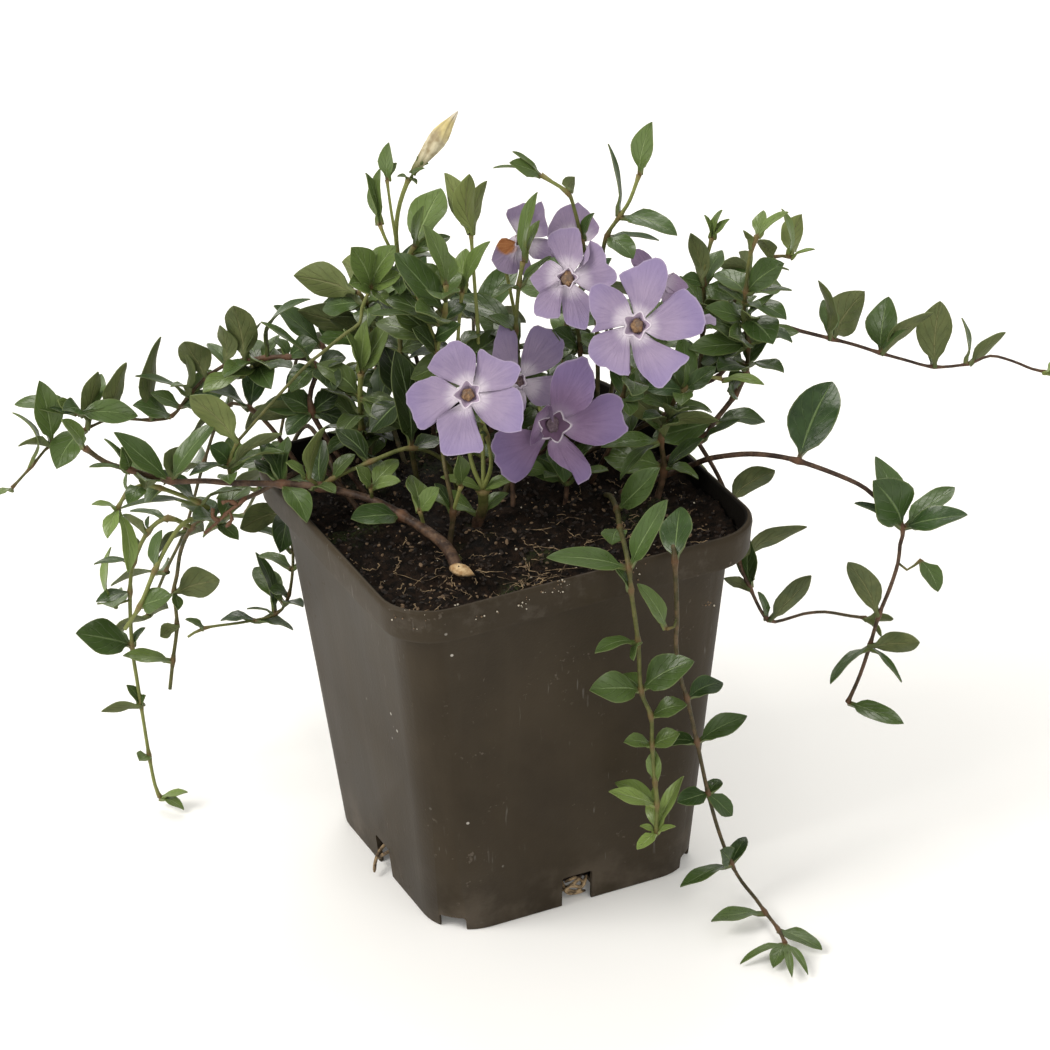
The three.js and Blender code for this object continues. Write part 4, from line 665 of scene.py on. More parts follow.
# Each spray's stems, in the order in which they branch: radii at the root and at the tip, the
# stops (picture point and mm in front of the pot's axis, or a place), and the leaves. A leaf is
# the stop that it grows from, its tip's picture point, its length in mm (less than 0 where it leans
# away), its width, the share of its face that shows (less than 0: the underside), and any arch
SPRAYS = {
    "left_high_runner": [
        ((1.05, 0.5),
         [soil(-24, 22), (312, 412, -14), (317, 366, -16), (288, 357, -18), (266, 358, -20),
          (246, 360, -21), (228, 364, -22), (208, 376, -22), (190, 394, -22), (172, 416, -22),
          (150, 420, -21), (112, 419, -19), (86, 429, -17), (52, 444, -14), (32, 466, -12),
          (12, 488, -10)],
         [(1, 266, 405, -13, 7, 0.8), (1, 253, 416, -15, 6.5, -0.7), (1, 347, 414, -9, 5, 0.6),
          (2, 334, 390, 9, 7, 0.8), (2, 292, 394, 9.5, 6, 0.7), (2, 260, 323, 18, 4.5, 0.25),
          (3, 318, 344, 8, 6, 0.8), (3, 275, 338, -6, 4, 0.6), (4, 314, 302, 20, 4.5, 0.15, 0.16),
          (5, 234, 305, 15, 8, -0.9), (5, 260, 323, 9.5, 3, 0.15), (6, 219, 326, 10, 6, -0.6),
          (6, 207, 345, -8, 5, 0.6), (7, 184, 343, 12, 7.5, -0.85), (8, 181, 346, 12.5, 4, -0.5),
          (8, 135, 377, 14.5, 3.5, 0.3), (9, 134, 404, 10, 6, 0.7),
          (10, 158, 336, 20.5, 6.5, -0.5), (11, 127, 363, 14.5, 6.5, -0.6),
          (11, 99, 408, 4, 2, 0.6), (12, 97, 371, 14.5, 5.5, -0.7), (12, 56, 467, 12.5, 8, 0.85),
          (13, 40, 381, 15.5, 7, 0.9), (13, 18, 445, 9, 3.5, -0.5),
          (14, 9, 414, 14, 3.5, 0.15, 0.2), (15, -4, 497, 5, 3, 0.5)]),
        ((0.55, 0.5),
         [(266, 358, -20), (244, 374, -19)],
         [(1, 203, 395, 12, 5.5, 0.7)]),
        ((0.5, 0.45),
         [(112, 419, -19), (80, 414, -17), (68, 409, -16)],
         [(2, 58, 400, 4.5, 3, 0.8)]),
    ],
    "left_middle_runner": [
        ((2.4, 0.9),
         [(459, 572, 33), (447, 548, 25), (425, 530, 18), (402, 516, 13), (372, 500, 9),
          (320, 487, 5), (282, 484, 3), (232, 483, 3), (205, 481, 3), (170, 481, 4),
          (130, 470, 6), (105, 462, 6), (85, 448, 6)],
         [(3, 350, 521, 13.5, 7, 0.75), (5, 322, 440, -13, 7, 0.7), (6, 307, 521, 14, 6, 0.85),
          (6, 255, 460, -9.5, 7, 0.6), (6, 262, 438, -13, 7, 0.6), (6, 290, 438, -12.5, 6, 0.6),
          (9, 113, 433, 18, 6.5, 0.75), (9, 213, 422, 17, 6, 0.7), (9, 178, 447, -9, 6, -0.7),
          (9, 193, 450, -9.5, 3, 0.3), (10, 120, 447, 7, 5.5, 0.8), (10, 106, 438, 9.5, 2.2, 0.5),
          (10, 89, 469, 9.8, 2.5, 0.4), (12, 60, 420, 10, 4.5, 0.7)]),
        ((1.45, 1.3),
         [soil(-18, -15), (449, 551, 25.5)],
         []),
        ((0.8, 0.65),
         [(232, 483, 3), (229, 463, 3), (238, 441, 3)],
         [(1, 209, 446, 7, 5.5, 0.9), (1, 283, 437, 14.5, 5, -0.5), (2, 190, 397, 16, 8, -0.85)]),
        ((0.55, 0.65),
         [(238, 441, 3), (300, 372, 0), (322, 353, -2), (345, 334, -4), (360, 323, -5),
          (362, 308, -6), (371, 288, -6)],
         [(6, 350, 283, 8, 6, 0.8), (6, 349, 247, 12, 7.5, 0.85), (6, 398, 246, 12, 7, 0.8),
          (6, 402, 275, 8.5, 5, 0.8), (6, 342, 262, -15, 10, -0.7), (6, 390, 307, 6.5, 4, 0.7)]),
        ((0.7, 0.65),
         [(372, 500, 9), (371, 487, 10)],
         [(1, 357, 467, 7, 4, 0.7), (1, 398, 460, -10, 5, 0.8), (1, 401, 482, 8, 4, 0.7)]),
        ((0.7, 0.65),
         [(425, 530, 16), (420, 511, 17)],
         [(1, 440, 488, 8, 5, 0.8), (1, 412, 475, -10, 6, 0.7)]),
        ((0.7, 0.65),
         [(320, 487, 5), (307, 477, 6)],
         [(1, 325, 427, 13, 4.5, -0.6), (1, 285, 463, 7, 3.5, 0.6)]),
        ((0.9, 0.7),
         [soil(-6, 10), (446, 463, 0), (412, 448, 3), (370, 462, 5), (332, 479, 5), (320, 487, 5)],
         [(2, 396, 351, 23.5, 9, 0.8), (2, 440, 440, -8, 5, 0.7), (3, 335, 430, -11, 6, 0.7),
          (4, 356, 455, 8, 4, 0.8)]),
    ],
    "left_low_sprays": [
        ((1.1, 0.7),
         [soil(-29, 9), (322, 468, -4), (287, 477, -2.5), (262, 491, -3.5), (240, 501, -7),
          (215, 513, -10), (192, 528, -13), (181, 550, -16), (177, 575, -18), (174, 592, -19),
          (177, 625, -20), (173, 660, -20), (170, 689, -20)],
         [(6, 209, 512, 6, 3, 0.7), (9, 220, 579, 11.5, 8, -0.9), (9, 177, 611, 5, 3, 0.8),
          (10, 161, 637, 5, 4, -0.8), (11, 123, 656, 12.5, 4.5, 0.7)]),
        ((1.05, 0.65),
         [(215, 513, -10), (198, 502, -6), (180, 495, -2), (160, 488, 1), (142, 485, 3),
          (127, 493, 5), (118, 508, 6)],
         [(6, 129, 572, 15.5, 4.5, 0.75), (6, 108, 539, 8, 4, 0.8), (6, 92, 504, 6.5, 2.2, 0.5),
          (1, 120, 508, 19, 3.5, 0.3), (3, 145, 500, -6, 5, 0.7), (5, 128, 472, -5, 1.4, 0.4)]),
        ((0.95, 0.65),
         [(192, 528, -13), (168, 518, -13), (148, 532, -15), (134, 562, -17), (130, 592, -19),
          (132, 645, -20), (137, 680, -20), (141, 705, -20), (149, 755, -19), (155, 785, -18),
          (160, 797, -17.5)],
         [(1, 130, 512, -9.5, 3, 0.4), (2, 122, 516, 7, 3.5, -0.6), (2, 150, 516, 4, 1.6, 0.5),
          (3, 128, 531, 8, 4, -0.8), (3, 94, 563, 9.5, 2.4, 0.5), (4, 96, 601, 8.5, 4, 0.7),
          (5, 75, 634, 15, 9, 0.9), (5, 146, 628, 5.5, 2.5, 0.6), (5, 103, 627, -8.5, 2.5, 0.5),
          (7, 127, 685, 6, 3, 0.8), (7, 102, 713, 9.5, 2.8, -0.8), (7, 146, 695, 3.5, 2.5, 0.6),
          (8, 139, 761, 4, 4.2, 0.8), (10, 188, 793, 7.5, 2.6, 0.6), (10, 184, 809, 7, 3, 0.7)]),
        ((0.45, 0.45),
         [(130, 600, -19), (111, 606, -17)],
         [(1, 114, 547, 14, 3.5, 0.4, 0.06)]),
        ((0.95, 0.8),
         [(215, 513, -10), (186, 522, -7), (170, 541, -7), (155, 570, -7), (140, 606, -8),
          (125, 629, -9)],
         [(3, 161, 530, 9.5, 4, 0.7), (4, 172, 596, 10, 6.5, 0.85)]),
        ((0.7, 0.5),
         [(240, 501, -7), (222, 520, -4), (204, 534, -3)],
         []),
    ],
    "left_back_runner": [
        ((0.95, 0.5),
         [soil(-27, 30), (308, 426, -30), (284, 470, -35), (286, 510, -36), (293, 553, -35),
          (289, 595, -33), (276, 614, -32), (245, 622, -32), (205, 628, -32), (188, 637, -32)],
         [(3, 241, 529, 12.5, 7, -0.9), (5, 269, 590, 5, 4, 0.7), (6, 257, 552, 14.5, 4, 0.7),
          (6, 247, 608, 7, 1.2, 0.3), (8, 185, 620, 5.2, 2.5, 0.6)]),
    ],
    "crown_left_short": [
        ((1.3, 0.95),
         [soil(-20, 27), (368, 456, -15), (362, 430, -13), (360, 396, -11), (361, 373, -10)],
         [(4, 345, 329, 12.5, 3.2, 0.5), (4, 365, 321, 13, 5, 0.8), (4, 390, 323, 14, 6.5, 0.8),
          (2, 346, 441, 6, 5, 0.6), (2, 385, 440, -8, 6, 0.6), (1, 398, 352, -26, 10, 0.6)]),
    ],
    "crown_left_back": [
        ((0.95, 0.65),
         [soil(-10, 32), (385, 400, -37), (373, 340, -32), (366, 303, -27), (357, 292, -26)],
         [(4, 292, 277, -16.5, 8.5, -0.9), (3, 314, 288, -13.5, 6, -0.8),
          (3, 322, 308, -12, 7, 0.8), (2, 297, 313, -17.8, 8, -0.8), (2, 329, 320, 12, 5, -0.7),
          (2, 319, 340, -12.6, 8, 0.6)]),
    ],
    "crown_left_tall": [
        ((1.05, 0.8),
         [soil(-14, 14), (403, 400, -6), (400, 330, -8), (399, 270, -10), (396, 232, -11),
          (400, 203, -12), (409, 178, -13)],
         [(2, 378, 300, -9, 4, 0.6), (2, 412, 284, 11, 4, 0.7), (6, 397, 177, 3.5, 1.2, 0.5),
          (6, 424, 168, 5.8, 1.4, 0.5), (6, 417, 184, 3, 1.3, 0.5)]),
        ((0.65, 0.5),
         [(397, 246, -10.7), (391, 210, -9), (387, 180, -9)],
         [(2, 388, 143, 9, 4, 0.8), (2, 397, 163, 4.5, 2.5, 0.7)]),
        ((0.65, 0.55),
         [(399, 266, -10), (385, 238, -8), (380, 225, -8)],
         [(2, 367, 173, 12.5, 3.5, 0.6), (2, 379, 169, 13, 4, 0.7)]),
        ((0.7, 0.65),
         [(399, 270, -10), (414, 247, -12)],
         [(1, 442, 191, -16, 9, 0.85), (1, 423, 206, 10, 3, 0.7)]),
    ],
    "crown_middle_left": [
        ((1.05, 0.65),
         [soil(-17, -8), (453, 512, 13), (447, 478, 11), (443, 455, 8), (438, 400, 2),
          (437, 352, 1), (426, 316, 0), (418, 296, -1)],
         [(1, 434, 484, -7, 4, 0.6), (6, 371, 317, 13.5, 4, 0.4), (5, 413, 328, 9, 5.5, 0.7),
          (7, 402, 277, 6, 4, 0.7), (4, 414, 378, 8, 5, 0.8)]),
        ((0.7, 0.65),
         [(453, 512, 13), (461, 486, 14)],
         [(1, 457, 455, 7.5, 5, 0.7)]),
        ((0.8, 0.7),
         [(437, 352, 1), (445, 312, 1), (446, 285, 1)],
         [(2, 424, 225, 15, 5, 0.75), (1, 393, 254, 17.5, 8.5, 0.8), (2, 443, 249, -9, 5, 0.7)]),
    ],
    "crown_fork": [
        ((2.1, 1.8),
         [soil(-6.5, -0.5), (483, 508, 5), (483, 489, 6)],
         [(2, 441, 477, 10.5, 3.2, 0.7), (2, 518, 477, 9, 3.6, 0.7)]),
        ((0.9, 0.65),
         [(483, 489, 6), (471, 460, 4), (463, 400, -3), (458, 345, -5), (462, 292, -5)],
         [(4, 493, 242, 16, 4.5, 0.6), (4, 467, 249, -10, 6, 0.7), (4, 430, 246, -13, 6, 0.7),
          (3, 485, 334, -8, 4, 0.5)]),
        ((0.9, 0.65),
         [(483, 489, 6), (483, 455, 3), (479, 400, -5), (478, 335, -9), (475, 290, -11),
          (471, 234, -12)],
         [(5, 442, 173, -16, 6.5, -0.8), (5, 469, 174, 14.5, 6.5, -0.8),
          (5, 486, 181, -13.5, 5, -0.7)]),
        ((0.8, 0.7),
         [(483, 489, 6), (491, 466, 8), (487, 436, 7), behind_bloom("bloom_front")],
         [(2, 480, 433, 3, 1.2, 0.5)]),
    ],
    "crown_middle_right": [
        ((0.95, 0.7),
         [soil(4, 8), (525, 440, -13), (519, 380, -13), (516, 330, -7), (519, 285, -6),
          (523, 262, -6.6)],
         [(5, 534, 193, 17.5, 4.5, 0.6), (5, 541, 221, 10, 3.5, 0.6),
          (4, 552, 258, -9.5, 3.5, 0.4), (4, 493, 297, 8, 3.2, 0.5),
          (3, 453, 300, -19.5, 6.5, 0.8), (3, 489, 316, 8, 3.5, 0.6)]),
        ((0.65, 0.65),
         [(519, 380, -13), (517, 330, -19), (510, 290, -22), behind_bloom("bloom_side")],
         []),
    ],
    "crown_top_bud": [
        ((0.95, 0.65),
         [soil(16, 12), (592, 420, -12), (597, 340, -11), (592, 285, -10), (582, 240, -10),
          (574, 208, -10), (568, 193, -7), (552, 182, -8), (541, 175, -9)],
         [(6, 574, 177, -5.5, 4, -0.8), (4, 594, 213, 8, 3, 0.6), (8, 494, 166, 11.5, 1.5, 0.3),
          (8, 509, 163, 8.5, 4.5, 0.8), (8, 511, 153, 9, 2, 0.5)]),
    ],
    "crown_top_leaves": [
        ((0.95, 0.65),
         [soil(19, 9), (609, 400, -14), (611, 330, -12), (603, 262, -9), (607, 236, -9),
          (620, 216, -8), (630, 200, -6), (639, 175, -7)],
         [(7, 652, 122, 13.5, 5.5, 0.85), (5, 609, 144, 17.5, 2.2, 0.4),
          (5, 677, 234, 15, 6, 0.7), (4, 633, 260, 9.5, 6, 0.8), (4, 659, 240, -13, 3, 0.4)]),
    ],
    "crown_right_tall": [
        ((1.2, 0.65),
         [soil(34, 1), (700, 440, -10), (714, 422, -11), (735, 395, -13), (746, 372, -15),
          (748, 345, -15), (744, 318, -15), (746, 292, -15), (748, 268, -16), (752, 247, -17),
          (757, 236, -17)],
         [(1, 741, 421, 12, 3, 0.5), (3, 727, 391, 5, 4, 0.7), (4, 729, 393, -8, 6, 0.6),
          (5, 689, 349, 14.5, 6, 0.85), (5, 702, 364, -12.5, 7.5, 0.6),
          (6, 775, 296, 10, 2.6, 0.6), (6, 773, 344, 12, 8.5, 0.85), (6, 705, 308, 10.5, 5, 0.8),
          (7, 786, 264, 12.5, 7.5, 0.85), (7, 716, 272, -10.5, 7, 0.7), (7, 792, 292, 11, 3, 0.4),
          (9, 743, 231, 5, 2.2, -0.6), (10, 764, 211, -7, 3.5, 0.8), (10, 788, 212, 9.5, 3, 0.6)]),
    ],
    "crown_right_clump": [
        ((0.95, 0.65),
         [soil(26, 16), (684, 400, -20), (703, 330, -23), (704, 285, -24), (706, 262, -25),
          (712, 238, -26)],
         [(3, 692, 232, 13, 5, -0.85), (3, 722, 250, -9.5, 6.5, 0.7), (3, 682, 278, 6, 4, 0.7),
          (3, 735, 299, 8, 6, 0.8), (2, 682, 300, 9, 5, 0.7), (5, 723, 210, 7.5, 2.4, 0.6),
          (5, 729, 219, 6.5, 2.4, 0.6), (5, 705, 215, 5.8, 1.7, 0.6)]),
    ],
    "crown_right_front": [
        ((1.3, 0.55),
         [soil(33.5, -11), (664, 470, -4), (661, 440, -3), (664, 424, -3), (675, 400, -3),
          (686, 388, -3), (700, 377, -4), (722, 379, -4)],
         [(1, 703, 438, 12, 5, 0.6), (2, 601, 446, 14.5, 5.5, 0.6), (2, 619, 478, 13, 4, 0.6),
          (3, 718, 422, 13, 3.8, -0.8), (3, 616, 381, -15.5, 8, -0.85),
          (4, 697, 387, -8, 5, -0.7), (5, 684, 362, 6.5, 2.5, 0.6), (7, 764, 384, 10.5, 2.8, 0.7)]),
    ],
    "crown_right_back": [
        ((0.95, 0.55),
         [soil(26, 26), (700, 360, -42), (735, 300, -46), (752, 272, -47), (772, 257, -47),
          (790, 257, -48)],
         [(5, 800, 215, -12, 6.5, -0.8), (5, 815, 250, 6.5, 1.6, 0.4), (5, 784, 209, 12, 3, 0.5),
          (3, 719, 265, 9.5, 4.5, -0.7), (3, 738, 252, -7, 5, -0.7), (4, 760, 241, 8, 5, -0.7),
          (4, 774, 276, 5, 4, -0.7)]),
    ],
    "right_high_runner": [
        ((1.05, 0.5),
         [soil(31, 20), above(35, 20.5, 95), (712, 380, -31), (742, 335, -29), (778, 326, -29),
          (800, 331, -29), (832, 339, -30), (855, 345, -31), (880, 353, -32), (905, 360, -33),
          (934, 367, -34), (968, 364, -35), (990, 356, -35), (1012, 361, -35), (1032, 369, -35),
          (1046, 372, -35)],
         [(6, 862, 292, -15, 9.5, -0.9), (6, 820, 280, 15, 5, -0.5), (6, 823, 300, -10.5, 5, 0.8),
          (8, 889, 297, -13.5, 8, 0.85), (8, 933, 312, 15.5, 5, -0.6), (8, 906, 330, 8.5, 3, 0.5),
          (10, 940, 301, 16, 8.5, -0.95), (10, 926, 325, -10.5, 4.5, 0.8),
          (11, 963, 318, 11.5, 3, 0.2), (11, 1005, 332, -11.5, 4, -0.7),
          (15, 1056, 366, 4, 2.5, 0.6), (15, 1055, 378, 4, 2.5, -0.6)]),
    ],
    "right_arching_runner": [
        ((1.2, 0.7),
         [soil(28, -4), (680, 470, -8), (705, 460, -4), (725, 456, -1), (750, 454, 2),
          (775, 456, 5), (798, 461, 8), (830, 472, 10), (858, 484, 12), (872, 494, 13),
          (888, 510, 14), (903, 527, 15), (900, 545, 16), (898, 563, 16), (890, 588, 16),
          (879, 615, 15), (870, 645, 14), (860, 675, 13), (848, 702, 12)],
         [(6, 832, 380, -21.5, 11.5, 0.95), (11, 874, 481, 15, 11, 0.9),
          (11, 877, 455, -18.5, 6.5, 0.8), (11, 854, 504, 13, 4, 0.5),
          (11, 955, 488, -15.5, 7, 0.7), (11, 969, 517, 16.5, 6.5, 0.75),
          (15, 848, 562, 15, 6.5, -0.9), (16, 831, 685, 14, 3.8, 0.6),
          (16, 919, 643, 14.5, 5.5, -0.9), (16, 901, 683, 12, 2.4, 0.5),
          (18, 904, 725, 15, 4.8, 0.9)]),
        ((0.45, 0.45),
         [(898, 563, 16), (907, 570, 17), (921, 560, 18)],
         [(2, 938, 592, 8.5, 5.5, 0.8)]),
    ],
    "right_back_runner": [
        ((1.05, 0.55),
         [soil(34, 11), above(40, 9, 94.5), (677, 419, -24), (706, 455, -22), (728, 500, -14),
          (738, 557, -8), (750, 588, -8), (768, 620, -9), (790, 618, -12), (803, 614, -14),
          (825, 612, -16), (850, 616, -18), (866, 618, -19)],
         [(4, 775, 470, 14.5, 6.5, -0.85), (5, 807, 527, 18, 5, -0.7), (6, 750, 537, 13, 6, 0.8),
          (6, 724, 580, 6.5, 3.5, -0.7), (7, 812, 577, 14.5, 5.5, -0.85),
          (7, 757, 592, 7.5, 3, 0.6), (12, 893, 620, 7, 3.5, -0.6), (12, 880, 637, 6, 2.2, -0.6)]),
    ],
    "front_left_trail": [
        ((1.05, 0.7),
         [soil(24, -3.5), (611, 497, 1), (617, 510, 8), (620, 528, 21), (625, 547, 36),
          (629, 568, 43), (631, 590, 44), (638, 641, 43), (641, 690, 42), (651, 716, 42),
          (652, 745, 41), (655, 782, 40), (657, 805, 39), (656, 832, 38)],
         [(2, 660, 468, 16, 7, 0.85), (3, 612, 545, 7, 6, 0.9), (5, 548, 556, 19.5, 5.5, 0.85),
          (5, 669, 500, 19, 6.5, 0.8), (6, 612, 566, 7, 2.6, 0.6), (7, 595, 652, 11, 4.5, 0.6),
          (7, 634, 661, 5, 3, 0.5), (8, 693, 661, 14, 8, 0.9), (8, 590, 690, 13, 7.5, 0.9),
          (8, 622, 675, -6.5, 5, 0.7), (9, 688, 706, 9, 5, 0.85), (10, 680, 734, 7, 5, 0.85),
          (10, 624, 742, 7, 4, 0.8), (11, 655, 750, 8, 4.2, 0.85), (12, 608, 793, 12, 4.5, 0.75),
          (12, 615, 781, -12, 4.5, 0.8), (13, 682, 776, 14.5, 4, 0.7),
          (13, 655, 784, -11.5, 3.8, 0.8), (13, 640, 826, 4, 1.8, 0.7),
          (13, 675, 826, 5, 1.8, 0.7), (13, 637, 850, 6.5, 3.4, 0.85)]),
    ],
    "front_right_trail": [
        ((0.95, 0.65),
         [soil(32, -22), (675, 531, 20), (673, 542, 33), (675, 562, 39), (677, 617, 41),
          (676, 645, 41), (681, 680, 40), (687, 698, 39), (697, 742, 38), (708, 793, 36),
          (719, 832, 34), (731, 863, 33), lying(742, 882, 5), lying(755, 898, 3.2),
          lying(765, 912, 2.6), lying(778, 929, 2.4), lying(785, 943, 2.4)],
         [(3, 681, 508, -14.5, 7.5, 0.9), (7, 723, 682, -11, 5.5, 0.85),
          (8, 747, 717, -13, 5.5, 0.9), (8, 666, 741, -9, 4, 0.8), (9, 677, 803, 8, 5.5, 0.85),
          (9, 720, 781, -5, 4, 0.8), (9, 731, 816, -8, 5, 0.85), (11, 746, 837, -7.5, 4.2, 0.85),
          (11, 720, 850, 6, 5, 0.85), (11, 681, 890, 14, 5, 0.6), (14, 711, 924, 14, 5, 0.6),
          (15, 822, 950, 12, 5, 0.6), (16, 740, 962, 11.5, 2.4, 0.6), (16, 773, 967, 7, 4, 0.6),
          (16, 792, 980, 9.5, 1.8, 0.6), (16, 808, 974, 10, 1.8, 0.6)]),
        ((0.5, 0.45),
         [(677, 617, 41), (674, 627, 42), (667, 629, 43)],
         [(2, 637, 584, 12.5, 4.8, 0.75)]),
    ],
    "bloom_right_stem": [
        ((0.95, 0.7),
         [soil(23, 2.5), (613, 440, -7), (622, 400, -3), (631, 365, 0),
          behind_bloom("bloom_right")],
         [(2, 645, 400, 9, 5, 0.6)]),
    ],
    "bloom_upper_stem": [
        ((0.95, 0.7),
         [soil(12, 18), (575, 420, -16), (580, 350, -12), (573, 312, -9),
          behind_bloom("bloom_upper")],
         [(2, 550, 331, 11, 5, 0.8), (2, 603, 352, -8, 5, 0.7), (1, 548, 372, -14, 7, 0.7)]),
    ],
    "bloom_lower_stem": [
        ((0.95, 0.7),
         [soil(14.5, -2.5), (567, 470, -4), (556, 444, -3), behind_bloom("bloom_lower")],
         [(1, 540, 457, 8, 4, 0.6), (1, 590, 466, -6, 3.5, 0.6)]),
    ],
    "bloom_inner_stem": [
        ((0.95, 0.7),
         [soil(3, 1), (512, 455, -6), (511, 415, -9), behind_bloom("bloom_inner")],
         [(1, 540, 440, -8, 4, 0.6)]),
    ],
    "bloom_top_stem": [
        ((0.95, 0.65),
         [soil(7, 24), (560, 400, -30), (566, 330, -30), behind_bloom("bloom_top")],
         [(1, 530, 372, -12, 6, 0.7), (2, 600, 318, -10, 5, 0.7)]),
    ],
    "bloom_hidden_stem": [
        ((0.95, 0.65),
         [soil(19, 24), (640, 400, -28), (652, 340, -24), behind_bloom("bloom_hidden")],
         [(1, 672, 372, -11, 6, 0.7), (2, 622, 318, -10, 5, 0.7)]),
    ],
}

# How each spray grows: how woody its first stem is at the root and at the tip, and how young and
# yellow-green its last leaves are
HABITS = {
    "left_high_runner": (0.75, 0.35, 0.6), "left_middle_runner": (1, 0.5, 0.5),
    "left_low_sprays": (0.7, 0.3, 0.75), "left_back_runner": (0.6, 0.15, 0.5),
    "crown_left_short": (0.5, 0.1, 0.5), "crown_left_back": (0.5, 0.2, 0.3),
    "crown_left_tall": (0.5, 0.0, 0.35), "crown_middle_left": (0.6, 0.1, 0.4),
    "crown_fork": (0.75, 0.1, 0.65), "crown_middle_right": (0.5, 0.1, 0.4),
    "crown_top_bud": (0.5, 0.1, 0.3), "crown_top_leaves": (0.5, 0.1, 0.35),
    "crown_right_tall": (0.8, 0.15, 0.6), "crown_right_clump": (0.6, 0.2, 0.55),
    "crown_right_front": (0.65, 0.1, 1), "crown_right_back": (0.7, 0.3, 0.6),
    "right_high_runner": (0.95, 0.75, 0.9), "right_arching_runner": (0.9, 0.6, 0.1),
    "right_back_runner": (0.85, 0.5, 0.3), "front_left_trail": (0.45, 0.2, 1.2),
    "front_right_trail": (0.5, 0.55, 0.3), "bloom_right_stem": (0.9, 0, 0.2),
    "bloom_upper_stem": (0.8, 0, 0.2), "bloom_lower_stem": (0.9, 0, 0.2),
    "bloom_inner_stem": (0.8, 0, 0.2), "bloom_top_stem": (0.7, 0, 0.2),
    "bloom_hidden_stem": (0.7, 0, 0.2),
}

# Painted shade: leaves round this place, left of the crown's middle, go darker; in metres
SHADED_MASS_MIDDLE = (-0.02, 0.013, 0.114)

leaf_green, shade = new_finish("leaf_green")
across = shade.place("UV").axis("X") * 2 - 1
off_rib = across.math("ABSOLUTE", across)
up_leaf = shade.place("UV").axis("Y")
spot = shade.place()
tint = shade.mark("tint")
young = shade.mark("young")
under = shade.mark("under").step(0.4, 0.6)
rib = (off_rib + up_leaf * 0.05).step(0.1, 0.045)
wander = spot.grain(380, 2) * 0.5
vein_course = up_leaf * 6.5 - off_rib * 2.3 + wander
off_vein = vein_course.math("FRACT", vein_course) - 0.5
vein = off_vein.math("ABSOLUTE", off_vein).step(0.09, 0.02) * off_rib.step(0.98, 0.55)
mottle = spot.grain(260, 4, 0.6)
blade = mottle.step(0.32, 0.7).mix((0.011, 0.030, 0.008), (0.026, 0.058, 0.014))
blade = (tint * 0.8).mix(blade, (0.062, 0.105, 0.026))
off_shaded_mass = spot.node("VectorMath", {"operation": "DISTANCE"}, {0: spot, 1: SHADED_MASS_MIDDLE}, "Value")
# old marks the painted shade deep in the leaf mass, which darkens blades round that place
old = off_shaded_mass.step(0.03, 0.018)
blade = (old * 0.85).mix(blade, (0.005, 0.013, 0.004))
blade = young.mix(blade, (0.21, 0.29, 0.075))
blade = (vein * 0.28).mix(blade, young.mix((0.09, 0.14, 0.045), (0.36, 0.45, 0.18)))
blade = (rib * 0.75).mix(blade, young.mix((0.15, 0.22, 0.08), (0.42, 0.52, 0.22)))
blade = (off_rib.step(0.9, 0.99) * 0.5).mix(blade, (0.14, 0.18, 0.06))
blade = (up_leaf.step(0.2, 0.05) * 0.8).mix(blade, (0.16, 0.095, 0.045))
back = mottle.step(0.3, 0.7).mix((0.06, 0.08, 0.026), (0.105, 0.122, 0.042))
# The same painted shade darkens the undersides there
back = (old * 0.5).mix(back, (0.03, 0.042, 0.014))
back = (young * 0.7).mix(back, (0.22, 0.27, 0.06))
back = (rib * 0.6).mix(back, (0.2, 0.2, 0.08))
back = (vein * 0.3).mix(back, (0.14, 0.14, 0.05))
leaf_tone = under.mix(blade, back)
leaf_gloss = 0.2 + mottle * 0.2 + under * 0.3
leaf_relief = vein * -0.5 + rib * -0.8 + spot.grain(260, 2) * 1.2 + spot.grain(700, 3) * 0.35
lay_finish(leaf_green, leaf_tone, leaf_gloss, leaf_relief, 0.00022,
           fixed={"Specular IOR Level": 0.35})

stem_bark, shade = new_finish("stem_bark")
spot = shade.place()
wood = shade.mark("wood")
knot = shade.mark("knot")
streak = spot.grain(420, 4, 0.6)
green_stem = streak.step(0.35, 0.7).mix((0.06, 0.07, 0.017), (0.125, 0.14, 0.035))
brown_stem = streak.step(0.35, 0.7).mix((0.028, 0.015, 0.01), (0.11, 0.064, 0.038))
stem_tone = (wood + streak * 0.4 - 0.2).step(0.15, 0.7).mix(green_stem, brown_stem)
stem_tone = (wood.step(0.35, 0.0) * 0.75).mix(stem_tone, (0.27, 0.30, 0.09))
stem_tone = (knot * 0.6).mix(stem_tone, (0.15, 0.07, 0.035))
cork = spot.grain(1300, 3).step(0.62, 0.7) * wood
stem_tone = (cork * 0.5).mix(stem_tone, (0.2, 0.15, 0.1))
lay_finish(stem_bark, stem_tone, 0.4 + streak * 0.25 + cork * 0.2,
           spot.grain(900, 4) + knot * 0.5, 0.00025, fixed={"Specular IOR Level": 0.25})

cut_wood, shade = new_finish("cut_wood")
spot = shade.place()
cut_tone = spot.grain(700, 3).step(0.35, 0.65).mix((0.32, 0.19, 0.08), (0.55, 0.4, 0.22))
lay_finish(cut_wood, cut_tone, 0.75 + spot.grain(500) * 0.15, spot.grain(1500, 3), 0.0003)

# A leaf's form, as shares of its length or width, and its thickness in mm
PETIOLE = 0.13
PETIOLE_HALF = 0.5
FOLD = 0.17
FOLD_CURVE = 1.25
LEAF_ARCH = 0.05
LEAF_CURL = (-0.07, 0.05)
LEAF_SWAY = 0.05
LEAF_WAVE = 0.13
LEAF_WAVES = 9
BLADE_THICK = 0.34
PETIOLE_THICK = 0.3
BLADE_RISE = 0.3
LONG_LEAF = 9
